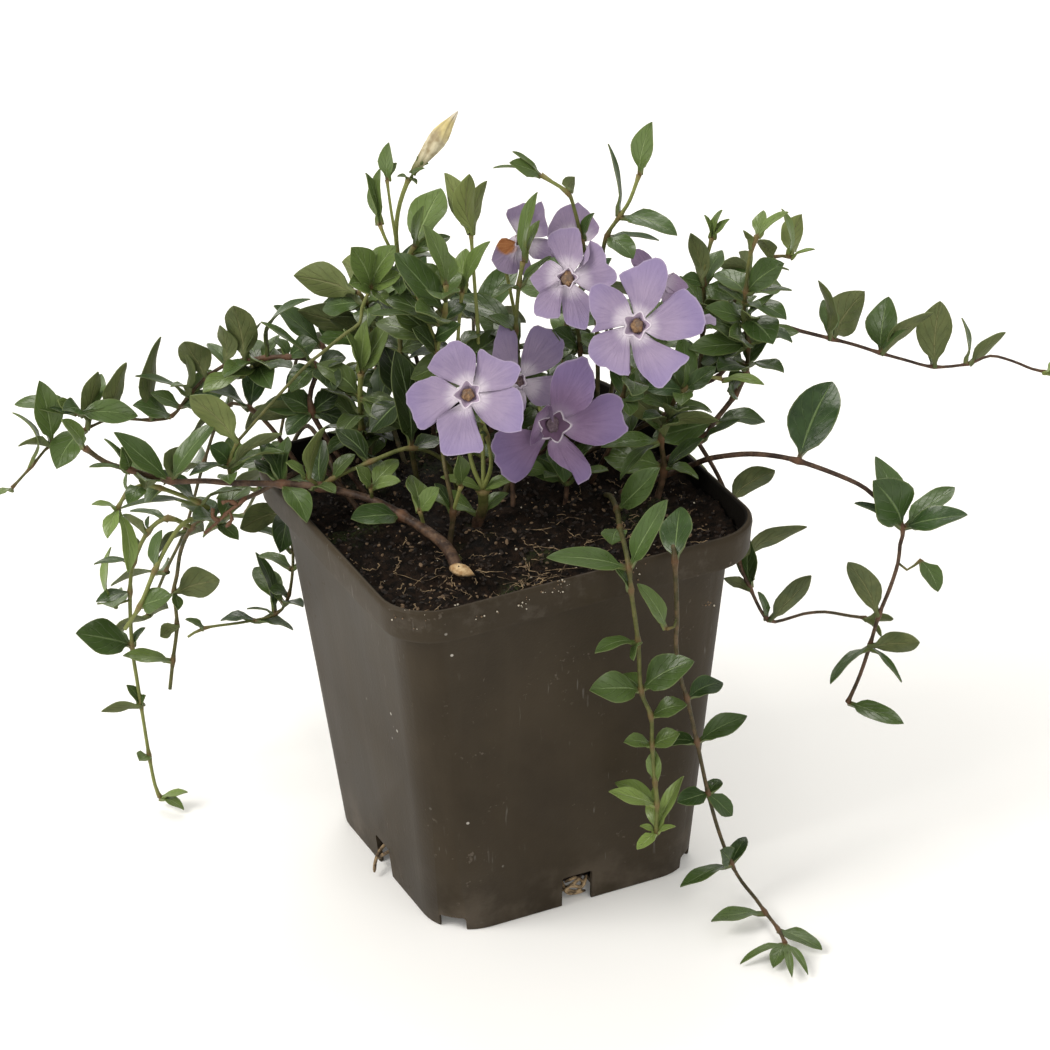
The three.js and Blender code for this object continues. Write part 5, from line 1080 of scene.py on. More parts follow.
# A stem's form: mm between its rings, its slimness against the solids, how fast it tapers, how
# much and how near the stops it swells, and how deep its root goes down
WOOD_STEP = 2.0
STEM_SLIM = 0.65
TAPER = 2.5
STEM_ROUGH = 0.06
KNOT_SWELL = 0.55
KNOT_LENGTH = 1.1
ROOT_DEPTH = 4.5
ROOT_WIDE = 1.1
STEM_SIDES = 8


def blade_mesh(name, columns, rows):
    """A blade's shell, from which each leaf or petal is shaped: x across, y along, z 0 or -1."""
    shell = bmesh.new()
    bmesh.ops.create_grid(shell, x_segments=columns, y_segments=rows, size=1)
    grown = bmesh.ops.extrude_face_region(shell, geom=shell.faces[:])["geom"]
    lower = [part for part in grown if isinstance(part, bmesh.types.BMVert)]
    bmesh.ops.translate(shell, vec=(0, 0, -1), verts=lower)
    bmesh.ops.recalc_face_normals(shell, faces=shell.faces)
    uv_map = shell.loops.layers.uv.new("UVMap")
    for face in shell.faces:
        for loop in face.loops:
            loop[uv_map].uv = ((loop.vert.co.x + 1) / 2, (loop.vert.co.y + 1) / 2)
    for edge in shell.edges:
        tilts = [abs(face.normal.z) for face in edge.link_faces]
        edge.smooth = abs(tilts[0] - tilts[1]) < 0.5
    mesh = bpy.data.meshes.new(name)
    shell.to_mesh(mesh)
    shell.free()
    return mesh


LONG_BLADE = blade_mesh("long_blade", 8, 14)
SHORT_BLADE = blade_mesh("short_blade", 4, 8)


def leaf_outline(share):
    """Half width of an ovate leaf along its length, as a share of its greatest."""
    if share <= PETIOLE:
        return 0
    along = (share - PETIOLE) / (1 - PETIOLE)
    return math.sin(math.pi * along ** 0.88) ** (0.56 + 0.2 * along) if along < 1 else 0


# A growing piece's materials stand in this order: stem or petal, leaf, cut face
LEAF_SLOT = 1
CUT_SLOT = 2


def grow_leaf(bm, base, tip, upper, width, arch, young, draw, slot):
    """One leaf on its petiole, from its node on the stem to its tip."""
    span = tip - base
    length = span.length
    along = span.normalized()
    normal = (upper - along * upper.dot(along)).normalized()
    sideways = along.cross(normal)
    leaf = bmesh.new()
    leaf.from_mesh(LONG_BLADE if length > LONG_LEAF else SHORT_BLADE)
    tint_layer, young_layer, under_layer = (
        leaf.verts.layers.float.new(name) for name in ("tint", "young", "under"))
    tint = draw.random()
    phase = draw.uniform(0, math.tau)
    curl = draw.uniform(*LEAF_CURL) * length
    sway = draw.uniform(-LEAF_SWAY, LEAF_SWAY) * length
    petiole_half = min(PETIOLE_HALF, 0.16 * width + 0.1)
    for vert in leaf.verts:
        across, share, below = vert.co.x, (vert.co.y + 1) / 2, -vert.co.z
        # Rows stand closer at both ends, where the outline turns
        share = 0.3 * share + 0.35 * (1 - math.cos(math.pi * share))
        half = leaf_outline(share) * width / 2
        half = max(half, petiole_half * (1 - 0.85 * max(0, share - PETIOLE) / (1 - PETIOLE)))
        blade = min(1, max(0, (share - PETIOLE) / 0.15))
        lift = (LEAF_ARCH + arch) * length * 4 * share * (1 - share) + curl * share ** 3
        lift += half * FOLD * blade * (abs(across) ** FOLD_CURVE * 1.15)
        lift += half * LEAF_WAVE * blade * math.sin(share * LEAF_WAVES + phase) * across * abs(across)
        thick = (BLADE_THICK + PETIOLE_THICK * (1 - blade)) * (1 - 0.45 * abs(across) ** 3)
        thick += petiole_half * (1 - blade)
        aside = sway * math.sin(math.pi * share)
        lift += BLADE_RISE * blade - below * thick
        vert[tint_layer], vert[young_layer], vert[under_layer] = tint, young, below
        vert.co = base + span * share + sideways * (across * half + aside) + normal * lift
    for face in leaf.faces:
        face.material_index = slot
    add_to(bm, leaf)


def upper_side(base, tip, facing):
    """The upper side of a leaf that shows that share of its face to the eye."""
    if tip.z <= LYING_TIP + LYING_SLACK:
        return Vector((0, 0, 1))
    along = (tip - base).normalized()
    to_eye = EYE - base
    to_eye = (to_eye - along * to_eye.dot(along)).normalized()
    aside = along.cross(to_eye)
    if aside.z < 0:
        aside.negate()
    return to_eye * facing + aside * math.sqrt(1 - facing * facing)


def smooth_course(points, spacing):
    """Catmull-Rom curve through the points: (point, share of the way) pairs."""
    course = []
    last = len(points) - 1
    for i in range(last):
        before, here = points[max(0, i - 1)], points[i]
        after, beyond = points[i + 1], points[min(last, i + 2)]
        steps = max(1, round((after - here).length / spacing))
        for step in range(steps):
            t = step / steps
            point = (here * 2 + (after - before) * t
                     + (before * 2 - here * 5 + after * 4 - beyond) * t * t
                     + (here * 3 - before - after * 3 + beyond) * t ** 3) / 2
            course.append((point, (i + t) / last))
    course.append((points[-1], 1))
    return course


def grow_stem(bm, points, radii, nodes, woods, rooted):
    """A strand's stem, a little thicker at each node, sunk into the soil where it is rooted."""
    course = smooth_course(points, WOOD_STEP)
    sweep, wood, knot = [], [], []
    for point, share in course:
        off_nodes = [(point - node).length / KNOT_LENGTH for node in nodes]
        near = max((math.exp(-off ** 2) for off in off_nodes), default=0)
        radius = radii[1] + (radii[0] - radii[1]) * (1 - share) ** TAPER
        radius *= STEM_SLIM * (1 + STEM_ROUGH * noise.noise(point * 0.4) + KNOT_SWELL * near)
        sweep.append((point, radius))
        wood.append(woods[0] + (woods[1] - woods[0]) * share)
        knot.append(near)
    if rooted:
        sweep.insert(0, (points[0] - Vector((0, 0, ROOT_DEPTH)), radii[0] * ROOT_WIDE))
        wood.insert(0, woods[0])
        knot.insert(0, 0)
    tube(bm, sweep, STEM_SIDES, (("wood", wood), ("knot", knot)))


SPRAY_MARKS = ("tint", "young", "under", "wood", "knot")


def marked_mesh(marks):
    """A bmesh with a UV map and the marks that a growing piece keeps."""
    bm = bmesh.new()
    bm.loops.layers.uv.new("UVMap")
    for mark in marks:
        bm.verts.layers.float.new(mark)
    return bm


# Short pairs of leaves that fill each spray between the leaves that stand out
FILLING_PAIRS = {
    "left_high_runner": 9, "left_middle_runner": 13, "left_low_sprays": 6, "left_back_runner": 9,
    "crown_left_short": 12, "crown_left_back": 12, "crown_left_tall": 10, "crown_middle_left": 11,
    "crown_fork": 14, "crown_middle_right": 14, "crown_top_bud": 6, "crown_top_leaves": 8,
    "crown_right_tall": 8, "crown_right_clump": 7, "crown_right_front": 7,
    "crown_right_back": 6, "bloom_right_stem": 6, "bloom_upper_stem": 6, "bloom_lower_stem": 3,
    "bloom_inner_stem": 5, "bloom_top_stem": 9, "bloom_hidden_stem": 9,
}
FILLING_LENGTH = (7.5, 14.5)
FILLING_WIDTH = (0.42, 0.6)
FILLING_ARCH = 0.03
FILLING_YOUTH = 0.3
FILLING_SPAN = (0.15, 0.78)
FILLING_TOP = SOIL_LEVEL + 46
TALL_FILLING_TOP = SOIL_LEVEL + 62
TALL_FILLINGS = ("crown_left_tall", "crown_middle_left")
BACKING_YOUTH = 0.05
# Leaves behind the others: the stop on the spray's first stem, the tip's picture point, the least
# length, the width and the share of the face that shows
BACKING_LEAVES = {
    "left_high_runner": [
        (1, 281, 397, 1, 6.5, 0.8), (1, 344, 421, 1, 6, 0.7), (1, 286, 434, 1, 6, 0.75),
        (1, 338, 393, 2, 6, 0.8), (2, 287, 388, 1, 6, 0.8), (2, 346, 358, 1, 6, 0.7),
    ],
    "crown_left_tall": [(1, 381, 345, 1, 9, 0.85), (1, 372, 433, 2, 8, 0.7)],
}
CLEAR_FRONT = 5
CLEAR_HEIGHT = SOIL_LEVEL + 25
BLOOM_CLEARANCE = 2
# The cut face's half length, half width and thickness, and how far it stands out and aside
CUT_STUMP = "left_middle_runner"
CUT_FACE = (3.2, 1.7, 0.7)
CUT_OUT = (1.1, 0.9)
TWIG_RADII = (0.22, 0.6)
DRIED_TWIG = [
    [(246, 498, 4), (238, 505, 5), (229, 511, 5), (219, 521, 5), (205, 533, 5)],
    [(238, 505, 5), (229, 501, 5), (222, 503, 5)], [(229, 511, 5), (232, 519, 5), (226, 527, 5)],
    [(219, 521, 5), (213, 517, 5), (213, 509, 5)],
]


def hides_bloom(point):
    """Whether a leaf there would stand before a bloom's face."""
    for name, (*_, reach, _) in BLOOMS.items():
        offset = point - bloom_axes(name)[0]
        ahead = offset.dot(BACK)
        if ahead > -BLOOM_CLEARANCE and (offset - BACK * ahead).length < reach + BLOOM_CLEARANCE:
            return True
    return False


def fill_out(bm, courses, pairs, top, draw):
    """Short leaf pairs at seeded places along a spray's stems, but none over bare soil or blooms."""
    for _ in range(pairs):
        course = draw.choice(courses)
        at = draw.uniform(*FILLING_SPAN) * (len(course) - 1)
        here, after = course[int(at)], course[int(at) + 1]
        base = here.lerp(after, at % 1)
        heading = draw.uniform(0, math.tau)
        aside = Vector((math.cos(heading), math.sin(heading), 0))
        for hand in (1, -1):
            direction = aside * hand + Vector((0, 0, draw.uniform(-0.35, 0.8)))
            length = draw.uniform(*FILLING_LENGTH)
            tip = base + direction.normalized() * length
            over_soil = base.dot(TOWARD) > CLEAR_FRONT and base.z < CLEAR_HEIGHT
            hides = hides_bloom(base.lerp(tip, 0.6)) or hides_bloom(tip)
            if over_soil or hides or tip.z > top:
                continue
            upper = Vector((draw.uniform(-0.5, 0.5), draw.uniform(-0.9, 0.3), 1))
            grow_leaf(bm, base, tip, upper, length * draw.uniform(*FILLING_WIDTH), FILLING_ARCH,
                      draw.uniform(0, FILLING_YOUTH), draw, LEAF_SLOT)


def dried_twig(bm, draw):
    """The brown knobbly twig that has withered in the low left sprays."""
    for stops in DRIED_TWIG:
        course = smooth_course([seen(*stop) for stop in stops], 0.7)
        sweep = [(point, draw.uniform(*TWIG_RADII)) for point, _ in course]
        browned = [1] * len(sweep)
        tube(bm, sweep, 6, (("wood", browned), ("knot", browned)))


def cut_end(bm, end, before):
    """The pale slanting face where the old stem was cut, as a thin oval plate on its end."""
    plate = bmesh.new()
    bmesh.ops.create_cone(plate, cap_ends=True, segments=24, radius1=1, radius2=0.8, depth=1)
    for vert in plate.verts:
        vert.co.y *= 1 - 0.75 * max(0, vert.co.x) ** 1.5
    along = (end - before).normalized()
    facing = (BACK + UP * 0.6 - along * 0.2).normalized()
    down_right = RIGHT * 0.85 - UP * 0.55
    long_way = (down_right - facing * down_right.dot(facing)).normalized()
    axes = (long_way * CUT_FACE[0], facing.cross(long_way) * CUT_FACE[1], facing * CUT_FACE[2])
    middle = end + facing * CUT_OUT[0] + long_way * CUT_OUT[1]
    bmesh.ops.transform(plate, matrix=placing(middle, axes), verts=plate.verts)
    for face in plate.faces:
        face.material_index = CUT_SLOT
    add_to(bm, plate)


SPRAY_SEED = 100
LEAST_YOUTH = 0.14

for number, (name, strands) in enumerate(SPRAYS.items()):
    bm = marked_mesh(SPRAY_MARKS)
    courses = []
    draw = random.Random(SPRAY_SEED + number)
    wood_root, wood_tip, youth = HABITS[name]
    for order, (radii, course, leaves) in enumerate(strands):
        points = []
        for stop in course:
            if isinstance(stop, Vector):
                points.append(stop)
            elif isinstance(stop[0], Vector):
                end, normal = stop
                points += [end - normal * STALK_NECK, end]
            else:
                points.append(seen(*stop))
        courses.append(points)
        woods = (wood_root, wood_tip) if order == 0 else (wood_tip * 0.7, wood_tip * 0.4)
        nodes = [points[leaf[0]] for leaf in leaves]
        rooted = abs(points[0].z - SOIL_LEVEL) < 0.01
        grow_stem(bm, points, radii, nodes, woods, rooted)
        for at, x, y, reach, width, facing, *arch in leaves:
            base = points[at]
            tip = seen_at_reach(x, y, base, reach)
            near_tip = LEAST_YOUTH + (at / (len(points) - 1)) ** 6
            near_tip *= youth * draw.uniform(0.65, 1)
            grow_leaf(bm, base, tip, upper_side(base, tip, facing), width,
                      arch[0] if arch else 0, near_tip, draw, LEAF_SLOT)
    for at, x, y, reach, width, facing in BACKING_LEAVES.get(name, []):
        base = courses[0][at]
        tip = seen_at_reach(x, y, base, reach)
        grow_leaf(bm, base, tip, upper_side(base, tip, facing), width, 0, BACKING_YOUTH, draw,
                  LEAF_SLOT)
    top = TALL_FILLING_TOP if name in TALL_FILLINGS else FILLING_TOP
    fill_out(bm, courses, FILLING_PAIRS.get(name, 0), top, draw)
    if name == "left_low_sprays":
        dried_twig(bm, draw)
    if name == CUT_STUMP:
        cut_end(bm, *courses[0][:2])
    piece_of(bm, name + "_growth", [stem_bark, leaf_green, cut_wood], [name])


# Back runners: five more stems of the same habit, green and wiry, which root at the rear of the
# pot, arch over the rim and hang down behind it. For each: its name, its place on the soil, the
# angle it heads for, and its rise, reach and drop in mm.
BACK_RUNNERS = [
    ("back_runner_1", (-16, 37), 116, 26, 50, 34),
    ("back_runner_2", (-1, 33), 95, 32, 61, 46),
    ("back_runner_3", (14, 36), 80, 24, 47, 58),
    ("back_runner_4", (30, 34), 47, 27, 58, 38),
    ("back_runner_5", (-33, 36), 138, 17, 46, 48),
]
BACK_POINTS = 8
BACK_SWAY = 9
BACK_CREST = 0.45
BACK_RADII = (0.95, 0.6)
BACK_WOODS = (0.7, 0.3)
BACK_LEAF = 17
BACK_LEAF_WIDTH = 8
BACK_YOUTH = 0.35
BACK_SEED = 300
FIRST_SEED = 20


def drawn_numbers(seed):
    """The seeded numbers by which the runners bend, one after another."""
    state = seed
    while True:
        state = state * 16807 % 2147483647
        yield state / 2147483647


for order, (name, root, heading, rise, reach, drop) in enumerate(BACK_RUNNERS):
    bm = marked_mesh(SPRAY_MARKS)
    numbers = drawn_numbers(FIRST_SEED + order)
    draw = random.Random(BACK_SEED + order)
    outward = Vector((math.cos(math.radians(heading)), math.sin(math.radians(heading)), 0))
    sideways = Vector((-outward.y, outward.x, 0))
    sway = (next(numbers) - 0.5) * 2 * BACK_SWAY
    points = []
    for i in range(BACK_POINTS):
        t = i / (BACK_POINTS - 1)
        arch = rise * math.sin(math.pi * min(1, t * 1.5))
        fall = 2 * drop * max(0, t - BACK_CREST) ** 1.2
        points.append(soil(*root) + outward * reach * t + sideways * sway * t * t
                      + Vector((0, 0, arch - fall)))
    grow_stem(bm, points, BACK_RADII, points[2:], BACK_WOODS, True)
    for i in range(2, BACK_POINTS):
        along = (points[min(i + 1, BACK_POINTS - 1)] - points[i - 1]).normalized()
        level = along.cross(Vector((0, 0, 1))).normalized()
        over = level.cross(along)
        for hand in (1, -1):
            rising = 0.1 if i % 2 else 0.75
            length = BACK_LEAF * (0.7 + 0.4 * next(numbers)) * (1 - 0.3 * (i / BACK_POINTS))
            direction = level * hand * (1 - rising / 2) + over * rising * (0.3 + next(numbers))
            direction += along * (0.3 + 0.7 * next(numbers))
            tip = points[i] + direction.normalized() * length
            grow_leaf(bm, points[i], tip, over, BACK_LEAF_WIDTH * length / BACK_LEAF, 0,
                      BACK_YOUTH * (i / BACK_POINTS) ** 4, draw, LEAF_SLOT)
    piece_of(bm, name + "_growth", [stem_bark, leaf_green], [name])


# Rim specks: soil that splashed onto the rim's band when the pot was watered and dried there, a
# few pale grains together. For each splash: its picture point, mm of spread and number of grains.
RIM_SPECKS = [
    (563, 583, 0.9, 12), (557, 591, 0.7, 7), (527, 600, 0.7, 6), (521, 606, 0.5, 5),
    (544, 593, 0.4, 4), (498, 612, 0.3, 3), (408, 619, 2.2, 10), (708, 604, 0.8, 6),
    (470, 622, 1.5, 4), (640, 572, 2, 5),
]
SPECK_SIZE = (0.08, 0.26)
SPECK_SEED = 41
SIGHT_STEPS = 30
PICTURE_PER_MM = PICTURE_SCALE / EYE_DISTANCE

draw = random.Random(SPECK_SEED)


def on_band(x, y):
    """Where the line of sight through a picture point meets the rim's band."""
    line = sight_line(x, y)
    point = lying(x, y, POT_HEIGHT + 20)
    flat = RIM_HALF - RIM_CORNER
    for _ in range(SIGHT_STEPS):
        across, along = abs(point.x) - flat, abs(point.y) - flat
        gap = math.hypot(max(across, 0), max(along, 0)) + min(max(across, along), 0) - RIM_CORNER
        point = point + line * gap
    return point


bm = bmesh.new()
kind_layer = bm.verts.layers.float.new("kind")
for x, y, spread, grains in RIM_SPECKS:
    for _ in range(grains):
        aside, down = draw.gauss(0, spread), draw.gauss(0, spread * 0.6)
        place = on_band(x + aside * PICTURE_PER_MM, y + down * PICTURE_PER_MM)
        size = draw.uniform(*SPECK_SIZE)
        made = bmesh.ops.create_icosphere(bm, subdivisions=CRUMB_FACES, radius=size)["verts"]
        grade = draw.uniform(0.85, 1)
        for vert in made:
            vert[kind_layer] = grade
        bmesh.ops.translate(bm, vec=place, verts=made)
piece_of(bm, "rim_specks", [crumb_bark], [])


# Blooms: five satin lavender petals that turn like a pinwheel, each with one corner drawn out,
# joined in a white-edged five-pointed throat on a slender tube, which stands in a small calyx.

# A petal's edge runs clockwise from its foot to its foot, curved through the picture points where
# it is seen, which are put onto the plane of the bloom's face
PETAL_EDGES = {
    "bloom_front": [
        [(458, 383), (446, 381), (429, 369), (439, 354), (455, 342), (474, 351), (477, 364),
         (474, 384)],
        [(455, 405), (437, 422), (422, 430), (413, 415), (406, 395), (420, 382), (437, 377),
         (453, 386)],
        [(472, 407), (478, 428), (484, 451), (464, 455), (445, 455), (440, 440), (438, 420),
         (458, 407)],
        [(481, 392), (496, 390), (517, 389), (524, 409), (521, 431), (500, 432), (483, 421),
         (472, 406)],
        [(474, 383), (477, 364), (481, 350), (500, 360), (521, 367), (513, 387), (481, 393)],
    ],
    "bloom_right": [
        [(633, 310), (626, 290), (620, 277), (630, 271), (645, 263), (662, 260), (669, 278),
         (660, 302), (648, 316)],
        [(624, 326), (600, 332), (592, 333), (596, 325), (590, 308), (592, 289), (602, 285),
         (624, 295), (632, 312)],
        [(630, 341), (630, 362), (629, 376), (610, 371), (591, 358), (596, 337), (625, 327)],
        [(648, 335), (665, 348), (690, 358), (677, 371), (659, 388), (638, 368), (631, 340)],
        [(648, 317), (665, 303), (685, 290), (702, 308), (707, 328), (692, 339), (663, 341),
         (648, 334)],
    ],
    "bloom_upper": [
        [(561, 267), (549, 249), (548, 238), (560, 231), (578, 232), (582, 247), (583, 260),
         (576, 270)],
        [(561, 284), (546, 294), (536, 290), (530, 280), (540, 269), (550, 261), (561, 268)],
        [(564, 287), (560, 312), (558, 320), (536, 318), (537, 297), (560, 282)],
        [(574, 284), (590, 300), (588, 320), (585, 332), (566, 325), (562, 306), (563, 288)],
        [(576, 271), (588, 263), (590, 243), (604, 254), (606, 266), (617, 277), (612, 288),
         (592, 296), (576, 284)],
    ],
    "bloom_lower": [
        [(551, 414), (549, 385), (556, 365), (570, 356), (585, 356), (593, 379), (587, 403),
         (567, 415)],
        [(541, 431), (527, 441), (530, 425), (534, 409), (547, 399), (550, 418)],
        [(546, 438), (537, 457), (527, 474), (511, 481), (497, 465), (491, 442), (505, 428),
         (541, 431)],
        [(562, 433), (580, 450), (588, 469), (575, 480), (570, 470), (550, 456), (545, 442),
         (550, 436)],
        [(567, 415), (585, 406), (600, 393), (620, 396), (622, 418), (625, 429), (603, 443),
         (578, 440), (563, 432)],
    ],
    "bloom_inner": [
        [(514, 377), (493, 362), (494, 338), (501, 324), (515, 336), (517, 362), (519, 374)],
        [(515, 388), (497, 402), (481, 393), (484, 373), (514, 378)],
        [(524, 388), (525, 408), (508, 426), (498, 410), (516, 388)],
        [(526, 379), (558, 377), (559, 399), (535, 406), (521, 388)],
        [(521, 374), (521, 357), (528, 331), (540, 327), (560, 341), (560, 359), (545, 371),
         (524, 377)],
    ],
    "bloom_side": [
        [(517, 236), (505, 214), (516, 206), (527, 204), (529, 222), (523, 235)],
        [(517, 250), (517, 273), (502, 273), (490, 261), (500, 239), (514, 243)],
        [(522, 246), (531, 266), (522, 276), (514, 262), (516, 248)],
        [(525, 238), (547, 240), (550, 256), (533, 259), (523, 245)],
        [(521, 233), (529, 212), (540, 202), (545, 222), (545, 237), (526, 238)],
    ],
    "bloom_top": [
        [(571, 241), (549, 240), (548, 226), (560, 209), (573, 206), (575, 238)],
        [(570, 247), (551, 258), (543, 246), (570, 242)],
        [(578, 248), (577, 268), (564, 264), (572, 247)],
        [(580, 243), (600, 252), (596, 267), (578, 250)],
        [(576, 238), (573, 206), (584, 208), (599, 228), (591, 241), (581, 243)],
    ],
    "bloom_hidden": [
        [(655, 276), (640, 272), (630, 262), (634, 251), (648, 255), (659, 272)],
        [(653, 283), (635, 287), (634, 274), (654, 278)],
        [(657, 287), (650, 304), (639, 297), (653, 283)],
        [(662, 284), (678, 297), (666, 309), (657, 289)],
        [(660, 274), (667, 280), (673, 273), (688, 288), (668, 294), (661, 283)],
    ],
}
# How far each petal's end curls toward the eye, in mm
PETAL_CURLS = {"bloom_lower": (0, 2.6, -0.8, 0.9, 0), "bloom_upper": (0.8, 0, 0.4, 0, 1.2)}
# A petal's shell: rows from throat to edge, mm between the edge's points, its reach in mm, how
# much its edge ruffles, how far it rises in mm, and its thickness at the foot and what it loses
PETAL_ROWS = 7
EDGE_STEP = 1.1
PETAL_REACH = 13
EDGE_RUFFLE = 0.045
PETAL_RISE = (1.2, 2.4)
PETAL_THICK = 0.4
PETAL_THINNING = 0.2
# The throat's star: its narrowest reach against the petals' feet, how far its points stand out,
# half the angle of a point, and the bloom in which it gapes
STAR_NARROW = 0.66
STAR_POINT = 0.55
STAR_POINT_HALF = math.radians(36)
STAR_WIDE = {"bloom_lower": 1.3}
# A withered part: its middle's picture point and its reach in mm
WITHERED = {"bloom_side": ((504, 243), 5.2)}
# The petal end that has curled up: the bloom, the end's course and depth, and its radii in mm
CURLED_BLOOM = "bloom_right"
CURLED_END = [(699, 323, 10), (704, 320, 10), (709, 319, 10), (713, 321, 10), (715, 325, 10)]
CURLED_RADII = (0.6, 1.1, 1.2, 0.9, 0.3)
CURLED_LOOK = (0.8, 0, 0.8, 0, 0)
PETAL_SEED = 500

petal_satin, shade = new_finish("petal_satin")
spot = shade.place()
sheet = shade.place("UV")
reach_mark = shade.mark("reach")
inner = shade.mark("inner")
violet = shade.mark("tint")
under = shade.mark("under").step(0.4, 0.6)
vein_place = sheet.node("Mapping", None, {"Vector": sheet, "Scale": (9, 0.7, 1)})
streaks = vein_place.grain(2.6, 4, 0.6)
shaded = streaks * 0.4 + spot.grain(110, 4) * 0.7
petal_pale = shaded.step(0.38, 0.7).mix((0.245, 0.20, 0.315), (0.325, 0.27, 0.385))
petal_deep = shaded.step(0.38, 0.7).mix((0.17, 0.105, 0.2), (0.25, 0.165, 0.28))
petal_tone = violet.mix(petal_pale, petal_deep)
petal_tone = (reach_mark.step(0.5, 1.1) * 0.5).mix(petal_tone, (0.18, 0.14, 0.32))
glow = (reach_mark + streaks * 0.2 - 0.1 + spot.grain(90, 3) * 0.3 - 0.15).step(0.46, 0.22)
petal_tone = (glow * (0.9 - violet * 0.75)).mix(petal_tone, (0.70, 0.64, 0.70))
rays = (vein_place.grain(5, 2) * reach_mark.step(0.2, 0.32)).step(0.52, 0.62)
petal_tone = (rays * 0.07).mix(petal_tone, (0.15, 0.10, 0.22))
side = sheet.axis("X") * 2 - 1
rim = side.math("MAXIMUM", side.math("ABSOLUTE", side), sheet.axis("Y")).step(0.955, 1.0)
petal_tone = (rim * 0.3).mix(petal_tone, (0.52, 0.46, 0.54))
petal_tone = (under * 0.4).mix(petal_tone, (0.27, 0.21, 0.27))
star_tone = violet.mix((0.52, 0.43, 0.56), (0.17, 0.1, 0.17))
petal_tone = inner.step(0.25, 0.8).mix(petal_tone, star_tone)
star_rim = inner.step(0, 0.3) * inner.step(0.75, 0.45)
petal_tone = (star_rim * 0.8).mix(petal_tone, (0.74, 0.69, 0.74))
withered = (shade.mark("withered") + spot.grain(500, 3) * 0.4 - 0.2).step(0.35, 0.6)
withered_tone = streaks.step(0.3, 0.7).mix((0.30, 0.10, 0.03), (0.44, 0.19, 0.07))
petal_tone = withered.mix(petal_tone, withered_tone)
lay_finish(petal_satin, petal_tone, 0.55 + streaks * 0.15,
           streaks + spot.grain(500, 3) * 0.4, 0.0003, fixed={"Specular IOR Level": 0.3})
PETAL_MARKS = ("reach", "inner", "tint", "under", "withered")


def on_face(axes, x, y):
    """Where the line of sight through a picture point meets a bloom's face: mm right and up."""
    throat, normal, first, second = axes
    line = sight_line(x, y)
    offset = EYE + line * ((throat - EYE).dot(normal) / line.dot(normal)) - throat
    return Vector((offset.dot(first), offset.dot(second)))


def star_of(name, axes, petals):
    """A throat's middle in the bloom's face, its narrowest reach, and each petal's two angles."""
    ends = [on_face(axes, *petal[end]) for petal in petals for end in (0, -1)]
    middle = sum(ends, Vector((0, 0))) / len(ends)
    narrow = STAR_NARROW * sum((end - middle).length for end in ends) / len(ends)
    narrow *= STAR_WIDE.get(name, 1)
    spans = []
    for first_end, last_end in zip(ends[::2], ends[1::2]):
        start, end = (math.atan2(*(place - middle).yx) for place in (first_end, last_end))
        spans.append((start, end if end < start else end - math.tau))
    return middle, narrow, spans


def star_reach(star, angle):
    """The throat's reach at an angle: widest in the middle of each petal's foot."""
    _, narrow, spans = star
    off = min(abs((angle - (start + end) / 2 + math.pi) % math.tau - math.pi)
              for start, end in spans)
    return narrow * (1 + STAR_POINT * max(0, 1 - off / STAR_POINT_HALF) ** 1.3)


def grow_petal(bm, axes, star, span, outline, violet, curl, withered, draw):
    """One petal from the throat's edge to its own outer edge."""
    throat, normal, first, second = axes
    middle, narrow, _ = star
    corners = [on_face(axes, x, y).to_3d() for x, y in outline]
    edge = []
    for point, _ in smooth_course(corners, EDGE_STEP):
        ruffle = 1 + EDGE_RUFFLE * noise.noise(point * 0.6 + throat)
        edge.append(middle + (point.xy - middle) * ruffle)
    shell = blade_mesh("petal_shell", len(edge) - 1, PETAL_ROWS)
    petal = bmesh.new()
    petal.from_mesh(shell)
    bpy.data.meshes.remove(shell)
    layers = [petal.verts.layers.float.new(mark) for mark in PETAL_MARKS]
    phase = draw.uniform(0, math.tau)
    rise = draw.uniform(*PETAL_RISE)
    for vert in petal.verts:
        share = (1 + vert.co.x) / 2
        t = (vert.co.y + 1) / 2
        below = -vert.co.z
        angle = span[0] + (span[1] - span[0]) * share
        foot = middle + Vector((math.cos(angle), math.sin(angle))) * star_reach(star, angle)
        flat = foot.lerp(edge[round(share * (len(edge) - 1))], t)
        out = (flat - middle).length
        # A raised ring round the throat, the rise outwards, one edge over the next, and waves
        lift = 0.35 * math.exp(-((out - narrow * 1.7) / 1.1) ** 2) + 0.45 * t
        lift += rise * (out / PETAL_REACH) ** 1.3 + curl * t ** 2.2 + 0.9 * t * (share - 0.5)
        lift += 0.35 * t * t * math.sin(share * 9 + phase) - 0.5 * t * math.sin(math.pi * share)
        lift -= below * (PETAL_THICK - PETAL_THINNING * t)
        vert.co = throat + normal * lift + first * flat.x + second * flat.y
        burnt = 0
        if withered:
            burnt = max(0, 1 - (flat - on_face(axes, *withered[0])).length / withered[1])
        for layer, mark in zip(layers, (out / PETAL_REACH, 0, violet, below, burnt)):
            vert[layer] = mark
    add_to(bm, petal)


# Throat and tube, from the bottom of the throat over its rim and down the tube's outside: mm
# along the axis, share of the star's reach, mm added to it, how deep inside
TUBE_PROFILE = [
    (-2.2, 0, 0.9, 1), (-1.2, 0.35, 0.65, 1), (-0.4, 0.66, 0.3, 1), (0.1, 0.9, 0.02, 1),
    (0.5, 0.97, 0, 0.5), (0.72, 1.03, 0.08, 0), (0.45, 1.06, 0.3, 0), (-0.4, 0.95, 0.35, 0),
    (-1.8, 0.4, 1.2, 0), (-3.4, 0, 1.6, 0), (-6.2, 0, 1.25, 0), (-8.9, 0, 1.05, 0),
]
THROAT_SIDES = 50
# A calyx leaf's length, width and lean away from the tube in mm, and how young it looks
CALYX_LEAF = 3.6
CALYX_WIDTH = 1.3
CALYX_LEAN = 1.9
CALYX_YOUTH = 0.35


